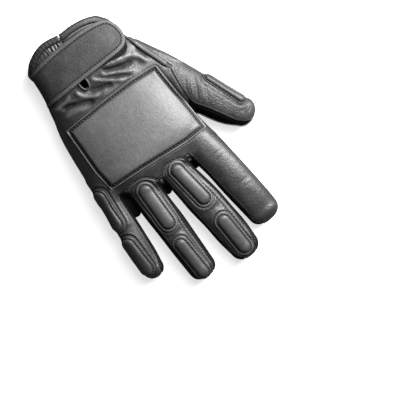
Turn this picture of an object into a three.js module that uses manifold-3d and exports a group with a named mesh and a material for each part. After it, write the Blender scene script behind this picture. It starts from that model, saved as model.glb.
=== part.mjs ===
// Padded leather combat glove, right hand, lying palm down with the fingers along +Y and the thumb on the -X side.
// Millimetres, +Z up. The tables below are in plan coordinates of the lying glove; PLAN_X and PLAN_Y move the whole
// thing so that the origin is at the middle of its box, on the surface it rests on.
import * as THREE from 'three';
import { mergeVertices } from 'three/addons/utils/BufferGeometryUtils.js';
import Module from 'manifold-3d';

const wasm = await Module();
wasm.setup();

// ---------------------------------------------------------------- driving dimensions
const LEATHER = 2.0;          // wall of the leather shell with its thin lining
const GAP = 0.3;              // room left between neighbouring pieces
const SUEDE = 1.2;            // suede palm overlay
const PATCH = 1.0;            // hook-and-loop patch and vent binding
const STRAP = 3.0;            // wrist strap with its turned edges
const STRAP_LIFT = 1.6;       // strap's underside above the leather
const HEM_DEPTH = 6.0;        // rolled hem at the cuff, along the hand
const HEM_SWELL = 0.9;        // how far the hem stands out of the leather
const PAD_FLANGE = 1.3;       // stitched flange around a finger pad
const PAD_RISE = 3.6;         // crown of a finger pad above the leather
const BACK_PAD_RISE = 4.6;    // crown of the large back pad
const BACK_RIM_RISE = 2.4;    // piped rim of the back pad
const PIPING_WIDTH = 3.2;     // piped seam on the thumb side
const PIPING_RISE = 2.2;
const PLAN_X = 8.9;
const PLAN_Y = -21.5;
const PLAN_Z = 0;
const CUT_HIGH = 90;          // height of the vertical cutting prisms
const CUT_LOW = -20;

// hand body, a row per cross section: y along the hand, left and right edge, underside and top
const BODY = [
  { y: -112, xl: -36.5, xr: 41.0, zb: 5.2, zt: 33.4 },
  { y: -94, xl: -37.6, xr: 41.6, zb: 5.4, zt: 33.0 },
  { y: -82, xl: -39.2, xr: 41.6, zb: 5.4, zt: 34.2 },
  { y: -64, xl: -40.6, xr: 43.6, zb: 4.8, zt: 34.8 },
  { y: -53, xl: -44.2, xr: 46.4, zb: 3.2, zt: 35.6 },
  { y: -45, xl: -46.0, xr: 48.2, zb: 2.2, zt: 33.8 },
  { y: -36, xl: -48.0, xr: 51.2, zb: 1.3, zt: 36.4 },
  { y: -12, xl: -49.6, xr: 56.2, zb: 0.9, zt: 37.0 },
  { y: 14, xl: -48.8, xr: 59.6, zb: 0.9, zt: 36.6 },
  { y: 34, xl: -48.2, xr: 61.0, zb: 1.0, zt: 33.6 },
  { y: 46, xl: -48.8, xr: 62.0, zb: 2.0, zt: 29.8 },
];
const BODY_FRONT = { reach: 5.0, at: [0.6, 0.94], roundness: 2.2 };   // rounded front end between the fingers
const KNUCKLE_SLANT = { from: 12, to: 58, drop: 15, start: 0 }; // the knuckle line falls back towards the little finger
const SIDES = { bodyOutside: 18, bodyInside: 14, digitOutside: 10, digitInside: 8 };   // facets round a section

// fingers and thumb, a row per cross section: centre in plan, half width, underside and top
const DIGITS = {
  index: {
    tip: { x: -40.6, y: 131.2 },
    rows: [
      { x: -34.6, y: 34, hw: 13.0, zb: 3.4, zt: 28.4 },
      { x: -35.6, y: 48, hw: 14.6, zb: 3.2, zt: 29.4 },
      { x: -37.6, y: 70, hw: 14.5, zb: 5.6, zt: 29.2 },
      { x: -39.1, y: 90, hw: 14.2, zb: 4.9, zt: 27.4 },
      { x: -40.2, y: 108, hw: 13.8, zb: 2.6, zt: 24.8 },
      { x: -40.6, y: 120.5, hw: 13.5, zb: 1.2, zt: 21.8 },
    ],
  },
  middle: {
    tip: { x: -9.6, y: 144.6 },
    rows: [
      { x: -4.0, y: 35, hw: 11.8, zb: 3.4, zt: 28.6 },
      { x: -4.4, y: 49, hw: 12.9, zb: 3.2, zt: 29.8 },
      { x: -6.0, y: 66, hw: 13.8, zb: 6.0, zt: 30.0 },
      { x: -7.3, y: 83, hw: 14.6, zb: 6.4, zt: 29.2 },
      { x: -8.5, y: 102, hw: 14.2, zb: 4.4, zt: 26.8 },
      { x: -9.2, y: 120, hw: 14.2, zb: 1.8, zt: 23.8 },
      { x: -9.6, y: 133.5, hw: 12.9, zb: 1.2, zt: 21.4 },
    ],
  },
  ring: {
    tip: { x: 29.2, y: 135.6 },
    rows: [
      { x: 25.8, y: 28, hw: 12.0, zb: 3.4, zt: 28.6 },
      { x: 26.0, y: 44, hw: 13.2, zb: 3.2, zt: 29.2 },
      { x: 26.8, y: 66, hw: 13.4, zb: 5.8, zt: 29.0 },
      { x: 27.1, y: 83, hw: 13.3, zb: 5.6, zt: 28.0 },
      { x: 28.0, y: 101, hw: 12.8, zb: 3.6, zt: 25.4 },
      { x: 29.0, y: 125, hw: 11.9, zb: 1.2, zt: 21.2 },
    ],
  },
  pinky: {
    tip: { x: 62.8, y: 109.2 },
    rows: [
      { x: 51.6, y: 13, hw: 8.2, zb: 4.0, zt: 26.0 },
      { x: 53.3, y: 28, hw: 9.2, zb: 3.0, zt: 26.6 },
      { x: 55.0, y: 45, hw: 9.8, zb: 3.0, zt: 25.6 },
      { x: 57.2, y: 61, hw: 10.6, zb: 4.6, zt: 25.8 },
      { x: 59.2, y: 76, hw: 10.9, zb: 3.6, zt: 24.2 },
      { x: 60.9, y: 90, hw: 10.8, zb: 1.6, zt: 21.8 },
      { x: 62.0, y: 100, hw: 9.9, zb: 1.2, zt: 20.0 },
    ],
  },
  thumb: {
    tip: { x: -80.6, y: 56.4 },
    rows: [
      { x: -36.0, y: -46, hw: 8.0, zb: 5.0, zt: 25.0 },
      { x: -44.5, y: -30, hw: 12.0, zb: 2.4, zt: 28.0 },
      { x: -52.5, y: -12, hw: 14.6, zb: 1.4, zt: 29.5 },
      { x: -58.6, y: 4, hw: 14.6, zb: 1.4, zt: 29.0 },
      { x: -65.2, y: 21.6, hw: 15.6, zb: 1.4, zt: 28.0 },
      { x: -72.4, y: 37.6, hw: 14.9, zb: 1.4, zt: 26.0 },
      { x: -77.0, y: 46.8, hw: 13.0, zb: 1.4, zt: 23.8 },
    ],
  },
};
const TIP = { at: [0.6, 0.96], roundness: 2.3 };
const SQUARENESS = { bodyTop: 2.5, bodyUnder: 3.4, digitTop: 2.25, digitUnder: 2.8 };
const WAIST = 0.42;           // the widest line of a section, as a share of its height

// the seam along the sides of the glove, where the back meets the palm: height against y
const SIDE_SEAM = [
  { y: -130, z: 16.5 }, { y: -60, z: 16.0 }, { y: -20, z: 14.5 }, { y: 30, z: 13.5 },
  { y: 70, z: 13.4 }, { y: 110, z: 11.6 }, { y: 160, z: 9.5 },
];

// cuff edge in plan, from the thumb side to the little-finger side
const CUFF_EDGE = [
  { x: -70, y: -82 }, { x: -39, y: -86 }, { x: -35, y: -91 }, { x: -25, y: -95.6 }, { x: -12, y: -98 },
  { x: 0, y: -98.4 }, { x: 10, y: -100.6 }, { x: 17, y: -101.2 }, { x: 27, y: -99 }, { x: 35, y: -95 },
  { x: 42, y: -89 }, { x: 70, y: -84 },
];
// vent in the back of the cuff: centre line from the edge to its round end, with half widths
const VENT = [
  { x: 0.0, y: -112, hw: 1.0 }, { x: 1.2, y: -92, hw: 1.2 }, { x: 6.2, y: -70, hw: 2.2 },
  { x: 8.9, y: -58, hw: 3.0 }, { x: 9.2, y: -51.6, hw: 2.9 }, { x: 9.2, y: -49.4, hw: 1.6 },
];
const VENT_BINDING = 2.4;

// side strips between two fingers: the seam lines down one finger, round the crotch and up the next
const SIDE_STRIPS = {
  index_middle: [
    { x: -37.5, y: 150 }, { x: -34.5, y: 131.2 }, { x: -29.6, y: 126 }, { x: -28.7, y: 110 }, { x: -26.5, y: 87 },
    { x: -24.2, y: 62 }, { x: -22.6, y: 50 }, { x: -21.4, y: 45.6 }, { x: -16.6, y: 45.6 }, { x: -15.4, y: 50 }, { x: -17.4, y: 66 },
    { x: -19.8, y: 82 }, { x: -20.8, y: 104 }, { x: -20.6, y: 126 }, { x: -17.6, y: 138.6 }, { x: -12.5, y: 150 },
  ],
  middle_ring: [
    { x: -6, y: 150 }, { x: -2.6, y: 141.4 }, { x: 1.4, y: 135 }, { x: 3.2, y: 116 }, { x: 4.6, y: 90 },
    { x: 6.0, y: 66 }, { x: 6.6, y: 50 }, { x: 7.6, y: 45.6 }, { x: 13.6, y: 45.6 }, { x: 14.8, y: 50 }, { x: 15.6, y: 66 },
    { x: 17.9, y: 92 }, { x: 19.0, y: 114 }, { x: 20.4, y: 128 }, { x: 26.5, y: 142 },
  ],
  ring_pinky: [
    { x: 33, y: 142 }, { x: 36.4, y: 130 }, { x: 37.9, y: 116 }, { x: 37.8, y: 90 },
    { x: 37.2, y: 60 }, { x: 37.0, y: 42 }, { x: 38.0, y: 36 }, { x: 45.4, y: 36 }, { x: 46.6, y: 42 },
    { x: 47.8, y: 54 }, { x: 49.8, y: 75 }, { x: 53.2, y: 96 }, { x: 60.5, y: 114 },
  ],
};
// seams across the base of the two finger backs that are sewn in as separate pieces
const FINGER_BACK_BASE = {
  middle: [{ x: -17.5, y: 47.6 }, { x: -12, y: 43.4 }, { x: -4, y: 41.8 }, { x: 4, y: 43.4 }, { x: 8.5, y: 48.2 }],
  ring: [{ x: 11.5, y: 48.2 }, { x: 14.6, y: 43.6 }, { x: 20, y: 38.4 }, { x: 28, y: 36.4 }, { x: 35, y: 36.6 }, { x: 39.2, y: 38.6 }],
};

// thumb seams: right-hand edge of the leather thumb back, then down the piped seam to the cuff
const THUMB_BACK_SEAM = [
  { x: -73, y: 66 }, { x: -70.4, y: 52 }, { x: -66.2, y: 41.5 }, { x: -61.6, y: 31 }, { x: -55.4, y: 21 }, { x: -50.4, y: 12.5 },
  { x: -51.8, y: -4 }, { x: -53.2, y: -17.5 }, { x: -50, y: -30 }, { x: -46.6, y: -39 }, { x: -44.0, y: -48 },
  { x: -38.8, y: -58 }, { x: -36, y: -67 }, { x: -33.5, y: -78 }, { x: -31, y: -120 },
];
// suede thumb front on the palm side: its edge across the palm, from the crotch to the outer side
const THUMB_FRONT_SEAM = [
  { x: -46.4, y: 30 }, { x: -47.2, y: 22 }, { x: -47.6, y: 12 }, { x: -48.8, y: 0 }, { x: -52.5, y: -13 }, { x: -60, y: -24 }, { x: -72, y: -31 },
];

// suede palm overlay: edge along the wrist, little-finger side, each finger front with its rounded end, thumb side
const SUEDE_WRIST_Y = -50;
const SUEDE_SIDE = { left: -41.5, right: 50.5 };
const SUEDE_FINGERS = [
  { name: 'pinky', half: 6.0, end: 98.5 },
  { name: 'ring', half: 8.8, end: 124.5 },
  { name: 'middle', half: 9.6, end: 133.5 },
  { name: 'index', half: 9.4, end: 120.5 },
];

// padded pieces on the backs of the fingers: axis from the wrist end to the tip end, half width of the raised pad
const FINGER_PADS = [
  { name: 'middle_knuckle_pad', x0: -5.6, y0: 45.8, x1: -9.0, y1: 87.0, half: 5.0, flange: 2.6 },
  { name: 'middle_tip_pad', x0: -8.9, y0: 104.0, x1: -9.4, y1: 139.6, half: 5.0, flange: 2.6 },
  { name: 'ring_knuckle_pad', x0: 25.6, y0: 42.0, x1: 27.6, y1: 84.0, half: 5.2, flange: 2.6 },
  { name: 'ring_tip_pad', x0: 30.6, y0: 98.0, x1: 30.6, y1: 131.6, half: 4.4, flange: 2.4 },
  { name: 'pinky_knuckle_pad', x0: 56.2, y0: 23.5, x1: 59.6, y1: 58.5, half: 4.3, flange: 2.2 },
  { name: 'pinky_tip_pad', x0: 63.0, y0: 69.5, x1: 63.6, y1: 103.0, half: 4.4, flange: 2.2 },
  { name: 'thumb_pad', x0: -73.8, y0: 8.5, x1: -84.6, y1: 40.5, half: 4.0, flange: 2.2 },
];

// large back pad: corners of the raised plate, with how far its rim stands outside it
const BACK_PAD = [
  { x: -43.0, y: -25.6 }, { x: -22, y: -28.0 }, { x: 42, y: -28.8 }, { x: 44.6, y: 10 }, { x: 43.6, y: 26 },
  { x: 15, y: 29.0 }, { x: -20, y: 33.6 }, { x: -43.2, y: 34.6 },
];
const BACK_PAD_RIM = 3.4;
const BACK_PAD_GROOVE = 0.6;

// wrist strap in plan: rounded tip on the thumb side; the other end wraps the little-finger side
const STRAP_OUTLINE = [
  { x: 60, y: -57.2 }, { x: 45, y: -56.6 }, { x: 25, y: -55.8 }, { x: 0, y: -55.6 }, { x: -15, y: -55.3 }, { x: -30, y: -55.4 },
  { x: -36, y: -56.8 }, { x: -40.2, y: -60.8 }, { x: -42.0, y: -66 }, { x: -42.4, y: -72 }, { x: -41.0, y: -78.6 },
  { x: -38.4, y: -83.2 }, { x: -34.5, y: -85.8 }, { x: -25, y: -87.8 }, { x: -16, y: -88.9 }, { x: 0, y: -89.5 },
  { x: 12, y: -89.5 }, { x: 25, y: -88.8 }, { x: 43, y: -85.8 }, { x: 60, y: -84 },
];
const STRAP_SIDE_LOW = 9.0;   // how low the strap reaches on the little-finger side
const PATCH_OUTLINE = [
  { x: -38.6, y: -83 }, { x: -40.2, y: -60 }, { x: -38.4, y: -54.6 }, { x: -34.5, y: -51.8 }, { x: -25, y: -50.8 },
  { x: -15, y: -52.6 }, { x: -9, y: -57 }, { x: -5, y: -64 }, { x: -6.5, y: -84 },
];
// piped seam that shows on the thumb side between the thumb base and the strap
const PIPING_LINE = [
  { x: -53.2, y: -17.5 }, { x: -50, y: -30 }, { x: -46.6, y: -39 }, { x: -44.6, y: -48.5 },
];

const COLOURS = {
  leather: { color: 0x2b2b2c, roughness: 0.5, metalness: 0 },
  pad: { color: 0x3a3a3b, roughness: 0.42, metalness: 0 },
  suede: { color: 0x141414, roughness: 0.95, metalness: 0 },
  strap: { color: 0x262627, roughness: 0.8, metalness: 0 },
  patch: { color: 0x101010, roughness: 0.95, metalness: 0 },
};

// ---------------------------------------------------------------- small helpers
const xy = (rows) => rows.map((r) => new THREE.Vector2(r.x, r.y));

// one closed ring of a cross section in unit form: across from -1 to 1, up from -1 to 1
function ring(sides, topSquare, underSquare) {
  const out = [];
  for (let i = 0; i < sides; i++) {
    const a = (2 * Math.PI * i) / sides;
    const n = Math.sin(a) >= 0 ? topSquare : underSquare;
    const c = Math.cos(a), s = Math.sin(a);
    out.push([Math.sign(c) * Math.abs(c) ** (2 / n), Math.sign(s) * Math.abs(s) ** (2 / n)]);
  }
  return out;
}

function solidOf(geometry) {
  const g = geometry.index ? geometry.clone() : geometry.clone();
  for (const name of Object.keys(g.attributes)) if (name !== 'position') g.deleteAttribute(name);
  const m = mergeVertices(g, 1e-4);
  return new wasm.Manifold(new wasm.Mesh({
    numProp: 3,
    vertProperties: new Float32Array(m.attributes.position.array),
    triVerts: new Uint32Array(m.index.array),
  }));
}

// closed loft through rings of points, each listed the same way round, with fan caps
function loft(rings) {
  const count = rings[0].length, pos = [], index = [];
  rings.forEach((r) => r.forEach((p) => pos.push(p.x, p.y, p.z)));
  const cap = (r) => {
    const c = r.reduce((a, p) => a.add(p), new THREE.Vector3()).divideScalar(r.length);
    pos.push(c.x, c.y, c.z);
    return pos.length / 3 - 1;
  };
  const a0 = cap(rings[0]), a1 = cap(rings[rings.length - 1]), last = (rings.length - 1) * count;
  for (let k = 0; k < rings.length - 1; k++) {
    for (let i = 0; i < count; i++) {
      const a = k * count + i, b = k * count + ((i + 1) % count), c = a + count, d = b + count;
      index.push(a, b, d, a, d, c);
    }
  }
  for (let i = 0; i < count; i++) {
    index.push(a0, (i + 1) % count, i);
    index.push(a1, last + i, last + ((i + 1) % count));
  }
  const g = new THREE.BufferGeometry();
  g.setAttribute('position', new THREE.Float32BufferAttribute(pos, 3));
  g.setIndex(index);
  let s = solidOf(g);
  if (s.volume() < 0) {
    for (let i = 0; i < index.length; i += 3) [index[i], index[i + 1]] = [index[i + 1], index[i]];
    g.setIndex(index);
    s = solidOf(g);
  }
  return s;
}

// vertical prism over a plan outline
function prism(points, low = CUT_LOW, high = CUT_HIGH) {
  const shape = new THREE.Shape(THREE.ShapeUtils.isClockWise(points) ? [...points].reverse() : points);
  const g = new THREE.ExtrudeGeometry(shape, { depth: high - low, bevelEnabled: false, steps: 1 });
  g.translate(0, 0, low);
  return solidOf(g);
}

// prism along X over an outline in (y, z)
function sideways(points) {
  const shape = new THREE.Shape(THREE.ShapeUtils.isClockWise(points) ? [...points].reverse() : points);
  const g = new THREE.ExtrudeGeometry(shape, { depth: 300, bevelEnabled: false, steps: 1 });
  g.translate(0, 0, -150);
  g.applyMatrix4(new THREE.Matrix4().makeBasis(new THREE.Vector3(0, 1, 0), new THREE.Vector3(0, 0, 1), new THREE.Vector3(1, 0, 0)));
  return solidOf(g);
}

// plan outline pushed outwards by d (negative pulls it in)
function offset(points, d) {
  const pts = THREE.ShapeUtils.isClockWise(points) ? [...points].reverse() : points;
  const n = pts.length;
  return pts.map((p, i) => {
    const a = pts[(i + n - 1) % n], b = pts[(i + 1) % n];
    const u = p.clone().sub(a).normalize(), v = b.clone().sub(p).normalize();
    const nu = new THREE.Vector2(u.y, -u.x), nv = new THREE.Vector2(v.y, -v.x);
    const m = nu.clone().add(nv).normalize();
    return p.clone().add(m.multiplyScalar(d / Math.max(0.45, m.dot(nu))));
  });
}

// band of a given half width around an open line
function band(points, half) {
  const side = (sgn) => points.map((p, i) => {
    const a = points[Math.max(0, i - 1)], b = points[Math.min(points.length - 1, i + 1)];
    const t = b.clone().sub(a).normalize();
    const h = typeof half === 'function' ? half(i) : half;
    return new THREE.Vector2(p.x - t.y * h * sgn, p.y + t.x * h * sgn);
  });
  return [...side(1), ...side(-1).reverse()];
}

// outline with round ends around an axis
function stadium(x0, y0, x1, y1, half, steps = 5) {
  const a = new THREE.Vector2(x0, y0), b = new THREE.Vector2(x1, y1);
  const t = b.clone().sub(a).normalize(), s = new THREE.Vector2(t.y, -t.x), out = [];
  const end = (c, dir) => {
    for (let i = 0; i <= steps; i++) {
      const w = (Math.PI * i) / steps;
      out.push(c.clone().addScaledVector(s, Math.cos(w) * half * dir).addScaledVector(t, Math.sin(w) * half * dir));
    }
  };
  end(b.clone().addScaledVector(t, -half), 1);
  end(a.clone().addScaledVector(t, half), -1);
  return out;
}

const joined = (parts) => parts.reduce((a, b) => a.add(b));
const largest = (solid) => solid.decompose().sort((a, b) => b.volume() - a.volume())[0];

// ---------------------------------------------------------------- the hand, grown or shrunk by d
function bodySolid(d) {
  const unit = ring(d < 0 ? SIDES.bodyInside : SIDES.bodyOutside, SQUARENESS.bodyTop, SQUARENESS.bodyUnder);
  const last = BODY[BODY.length - 1], rings = [];
  const one = (row, y, squash) => {
    const xl = row.xl - d, xr = row.xr + d, zb = row.zb - d, zt = row.zt + d;
    const zc = zb + (zt - zb) * WAIST, cx = (xl + xr) / 2, hw = (xr - xl) / 2;
    return unit.map(([u, v]) => {
      const x = cx + hw * u * (0.6 + 0.4 * squash);
      const s = Math.max(0, Math.min(1, (x - KNUCKLE_SLANT.from) / (KNUCKLE_SLANT.to - KNUCKLE_SLANT.from)));
      const w = Math.max(0, Math.min(1, (y - KNUCKLE_SLANT.start) / (last.y - KNUCKLE_SLANT.start)));
      const z = zc + (v >= 0 ? zt - zc : zc - zb) * v * squash;
      return new THREE.Vector3(x, y - KNUCKLE_SLANT.drop * s * s * (3 - 2 * s) * w, z);
    });
  };
  BODY.forEach((row, i) => rings.push(one(row, row.y - (i === 0 && d < 0 ? 6 : 0), 1)));
  for (const t of BODY_FRONT.at) {
    rings.push(one(last, last.y + (BODY_FRONT.reach + (d < 0 ? 2 * d : d)) * t, (1 - t ** BODY_FRONT.roundness) ** (1 / BODY_FRONT.roundness)));
  }
  return loft(rings);
}

function digitSolid(digit, d) {
  const unit = ring(d < 0 ? SIDES.digitInside : SIDES.digitOutside, SQUARENESS.digitTop, SQUARENESS.digitUnder);
  const rows = digit.rows, last = rows[rows.length - 1], rings = [];
  const one = (r, tx, ty, squash) => unit.map(([u, v]) => {
    const zb = r.zb - d, zt = r.zt + d, hw = r.hw + d, zc = zb + (zt - zb) * (WAIST + 0.04);
    const z = zc + (v >= 0 ? zt - zc : zc - zb) * v * squash;
    return new THREE.Vector3(r.x + ty * hw * u * squash, r.y - tx * hw * u * squash, z);
  });
  rows.forEach((r, i) => {
    const a = rows[Math.max(0, i - 1)], b = rows[Math.min(rows.length - 1, i + 1)], l = Math.hypot(b.x - a.x, b.y - a.y);
    rings.push(one(r, (b.x - a.x) / l, (b.y - a.y) / l, 1));
  });
  const dx = digit.tip.x - last.x, dy = digit.tip.y - last.y, reach = Math.hypot(dx, dy);
  for (const t of TIP.at) {
    const move = ((reach + d) * t) / reach;
    rings.push(one({ ...last, x: last.x + dx * move, y: last.y + dy * move }, dx / reach, dy / reach, (1 - t ** TIP.roundness) ** (1 / TIP.roundness)));
  }
  return loft(rings);
}

const grownCache = new Map();
function grown(d) {
  const key = d.toFixed(3);
  if (!grownCache.has(key)) grownCache.set(key, joined([bodySolid(d), ...Object.values(DIGITS).map((g) => digitSolid(g, d))]));
  return grownCache.get(key);
}
const layer = (low, high) => grown(high).subtract(grown(low));

// ---------------------------------------------------------------- cutting bodies
const seamRow = (shift) => SIDE_SEAM.map((r) => new THREE.Vector2(r.y, r.z + shift));
const above = (shift) => sideways([...seamRow(shift), new THREE.Vector2(160, CUT_HIGH), new THREE.Vector2(-130, CUT_HIGH)]);
const below = (shift) => sideways([...seamRow(shift), new THREE.Vector2(160, CUT_LOW), new THREE.Vector2(-130, CUT_LOW)]);

const upper = above(GAP / 2);
const lower = below(-GAP / 2);
const cuffLine = (back) => CUFF_EDGE.map((r) => new THREE.Vector2(r.x, r.y + back));
const beyondCuff = (back) => prism([...cuffLine(back), new THREE.Vector2(70, -130), new THREE.Vector2(-70, -130)]);
const ventOutline = (grow) => band(VENT.map((r, i) => new THREE.Vector2(r.x, r.y + (i > VENT.length - 3 ? grow : 0))), (i) => VENT[i].hw + grow);
const vent = prism(ventOutline(0), 20, CUT_HIGH);

const strips = Object.fromEntries(Object.entries(SIDE_STRIPS).map(([k, rows]) => [k, xy(rows)]));
const stripCut = joined(Object.values(strips).map((p) => prism(offset(p, GAP / 2))));

const thumbBackSide = (shift) => prism([
  ...THUMB_BACK_SEAM.map((r) => new THREE.Vector2(r.x + shift, r.y)), new THREE.Vector2(-110, -120), new THREE.Vector2(-110, 66),
]);
const thumbFrontSide = (shift) => prism([
  new THREE.Vector2(-50, 70), ...THUMB_FRONT_SEAM.map((r) => new THREE.Vector2(r.x + shift, r.y + shift * 0.4)), new THREE.Vector2(-110, -31), new THREE.Vector2(-110, 70),
]);
const fingerBackRegion = (base, left, right, grow) => {
  const stripSide = (rows, fromMid) => rows.filter((_, i) => (fromMid ? i > rows.findIndex((p) => p.y === Math.min(...rows.map((q) => q.y))) : i < rows.findIndex((p) => p.y === Math.min(...rows.map((q) => q.y)))));
  const l = stripSide(left, true), r = stripSide(right, false);
  return prism(offset([...base.map((p) => new THREE.Vector2(p.x, p.y)), ...[...r].reverse().filter((p) => p.y > 50), ...[...l].reverse().filter((p) => p.y > 50)], grow));
};

// ---------------------------------------------------------------- pieces
const shell = layer(-LEATHER, 0).subtract(beyondCuff(0)).subtract(vent);
const leather = shell.subtract(beyondCuff(HEM_DEPTH + GAP));
const pieces = {};

const middleRegion = (g) => fingerBackRegion(FINGER_BACK_BASE.middle, strips.index_middle, strips.middle_ring, g);
const ringRegion = (g) => fingerBackRegion(FINGER_BACK_BASE.ring, strips.middle_ring, strips.ring_pinky, g);
const thumbWeb = prism([
  ...THUMB_BACK_SEAM.slice(0, 6).map((r) => new THREE.Vector2(r.x + GAP, r.y)), new THREE.Vector2(-47.6, 14), new THREE.Vector2(-46.6, 24),
  new THREE.Vector2(-46.2, 30), new THREE.Vector2(-50, 66),
]);
const thumbWebCut = prism([
  ...THUMB_BACK_SEAM.slice(0, 6).map((r) => new THREE.Vector2(r.x, r.y)), new THREE.Vector2(-50.2, 10.5), new THREE.Vector2(-47.3, 13.6), new THREE.Vector2(-46.3, 24),
  new THREE.Vector2(-45.9, 30), new THREE.Vector2(-49.6, 66),
]);

const upperLeather = leather.intersect(upper).subtract(stripCut);
pieces.thumb_back = { solid: upperLeather.intersect(thumbBackSide(0)), look: 'leather' };
pieces.middle_finger_back = { solid: upperLeather.intersect(middleRegion(0)), look: 'leather' };
pieces.ring_finger_back = { solid: upperLeather.intersect(ringRegion(0)), look: 'leather' };
pieces.back_panel = {
  solid: upperLeather.subtract(thumbBackSide(GAP)).subtract(thumbWebCut).subtract(middleRegion(GAP)).subtract(ringRegion(GAP)), look: 'leather',
};
for (const [name, outline] of Object.entries(strips)) {
  pieces[`side_strip_${name}`] = { solid: leather.intersect(prism(offset(outline, -GAP / 2))), look: 'leather' };
}
const lowerLeather = leather.intersect(lower).subtract(stripCut);
pieces.thumb_front = {
  solid: leather.intersect(lower.intersect(thumbFrontSide(0)).add(thumbWeb.intersect(thumbFrontSide(0)))), look: 'suede',
};
pieces.palm_panel = { solid: lowerLeather.subtract(thumbFrontSide(GAP)), look: 'leather' };

const hemBand = grown(HEM_SWELL).subtract(grown(-LEATHER - HEM_SWELL)).intersect(beyondCuff(HEM_DEPTH)).subtract(beyondCuff(0));
pieces.cuff_hem = { solid: hemBand.subtract(prism(ventOutline(0.4), 20, CUT_HIGH)), look: 'leather' };

// suede overlay under the palm and the finger fronts
const fingerFront = (f) => {
  const rows = DIGITS[f.name].rows.slice(1), side = (sgn) => rows.filter((r) => r.y < f.end - f.half * 1.1).map((r) => new THREE.Vector2(r.x + sgn * f.half, r.y));
  const last = rows[rows.length - 1], cx = last.x;
  const round = [];
  for (let i = 0; i <= 4; i++) {
    const w = (Math.PI * i) / 4;
    round.push(new THREE.Vector2(cx + Math.cos(w) * f.half, f.end - f.half * 0.8 + Math.sin(w) * f.half * 0.8));
  }
  return [...side(1), ...round, ...side(-1).reverse()];
};
const palmOutline = [
  new THREE.Vector2(-38, SUEDE_WRIST_Y), new THREE.Vector2(0, SUEDE_WRIST_Y - 2), new THREE.Vector2(43, SUEDE_WRIST_Y + 1),
  new THREE.Vector2(SUEDE_SIDE.right, 0), new THREE.Vector2(60.5, 48),
  new THREE.Vector2(50, 48), new THREE.Vector2(44.5, 35), new THREE.Vector2(38, 35), new THREE.Vector2(34, 54),
  new THREE.Vector2(18, 54), new THREE.Vector2(13.5, 44.5), new THREE.Vector2(7, 44.5), new THREE.Vector2(4.8, 54),
  new THREE.Vector2(-13.4, 54), new THREE.Vector2(-16, 44.2), new THREE.Vector2(-22, 44.2), new THREE.Vector2(-26.5, 54),
  new THREE.Vector2(-45.6, 54), new THREE.Vector2(-44.8, 8), new THREE.Vector2(-50, -18),
];
const suedePlan = joined([prism(palmOutline, CUT_LOW, 12), ...SUEDE_FINGERS.map((f) => prism(fingerFront(f), CUT_LOW, 8))]);
const floor = prism([new THREE.Vector2(-200, -200), new THREE.Vector2(200, -200), new THREE.Vector2(200, 200), new THREE.Vector2(-200, 200)], -40, 0);
pieces.palm_suede = { solid: layer(GAP, GAP + SUEDE).intersect(suedePlan).intersect(below(-5)).subtract(floor), look: 'suede' };

// pads
const padOn = (outline, rise, rim, rimRise) => layer(GAP, GAP + rimRise).intersect(prism(outline))
  .add(layer(GAP, GAP + rise).intersect(prism(rim))).intersect(above(1.5));
for (const p of FINGER_PADS) {
  const l = Math.hypot(p.x1 - p.x0, p.y1 - p.y0), ux = ((p.x1 - p.x0) / l) * p.flange, uy = ((p.y1 - p.y0) / l) * p.flange;
  const flange = stadium(p.x0 - ux, p.y0 - uy, p.x1 + ux, p.y1 + uy, p.half + p.flange, 4);
  pieces[p.name] = { solid: padOn(flange, PAD_RISE, stadium(p.x0, p.y0, p.x1, p.y1, p.half, 3), PAD_FLANGE), look: 'pad' };
}
const plate = xy(BACK_PAD);
pieces.back_pad = { solid: padOn(plate, BACK_PAD_RISE, offset(plate, -2.6), BACK_PAD_RISE * 0.6), look: 'pad' };
pieces.back_pad_rim = {
  solid: layer(GAP, GAP + BACK_RIM_RISE).intersect(prism(offset(plate, BACK_PAD_RIM))).subtract(prism(offset(plate, BACK_PAD_GROOVE))).intersect(above(1.5)),
  look: 'leather',
};

// vent binding, hook-and-loop patch, strap, piping
pieces.vent_binding = {
  solid: layer(GAP, GAP + PATCH).intersect(prism(ventOutline(VENT_BINDING), 20, CUT_HIGH)).subtract(prism(ventOutline(0), 20, CUT_HIGH)).subtract(beyondCuff(HEM_DEPTH + GAP)),
  look: 'leather',
};
pieces.strap_patch = {
  solid: layer(GAP, GAP + PATCH).intersect(prism(xy(PATCH_OUTLINE), 18, CUT_HIGH)).subtract(beyondCuff(HEM_DEPTH + GAP)), look: 'patch',
};
pieces.wrist_strap = {
  solid: layer(STRAP_LIFT, STRAP_LIFT + STRAP).intersect(prism(xy(STRAP_OUTLINE), STRAP_SIDE_LOW, CUT_HIGH)).subtract(prism(xy([{ x: -60, y: -100 }, { x: 0, y: -100 }, { x: 0, y: -40 }, { x: -60, y: -40 }]), CUT_LOW, 21)),
  look: 'strap',
};
pieces.thumb_piping = {
  solid: layer(GAP, GAP + PIPING_RISE).intersect(prism(band(xy(PIPING_LINE), PIPING_WIDTH / 2))).intersect(above(2)), look: 'leather',
};

// ---------------------------------------------------------------- the scene graph
const group = new THREE.Group();
for (const [name, { solid, look }] of Object.entries(pieces)) {
  const one = largest(solid);
  const m = one.getMesh(), g = new THREE.BufferGeometry();
  const pos = new Float32Array(m.numVert * 3);
  for (let i = 0; i < m.numVert; i++) for (let k = 0; k < 3; k++) pos[i * 3 + k] = m.vertProperties[i * m.numProp + k];
  g.setAttribute('position', new THREE.BufferAttribute(pos, 3));
  g.setIndex(new THREE.BufferAttribute(new Uint32Array(m.triVerts), 1));
  g.computeVertexNormals();
  const mesh = new THREE.Mesh(g, new THREE.MeshStandardMaterial(COLOURS[look]));
  mesh.name = name;
  group.add(mesh);
}
group.position.set(PLAN_X, PLAN_Y, PLAN_Z);
group.updateMatrixWorld(true);

export default group;
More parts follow.
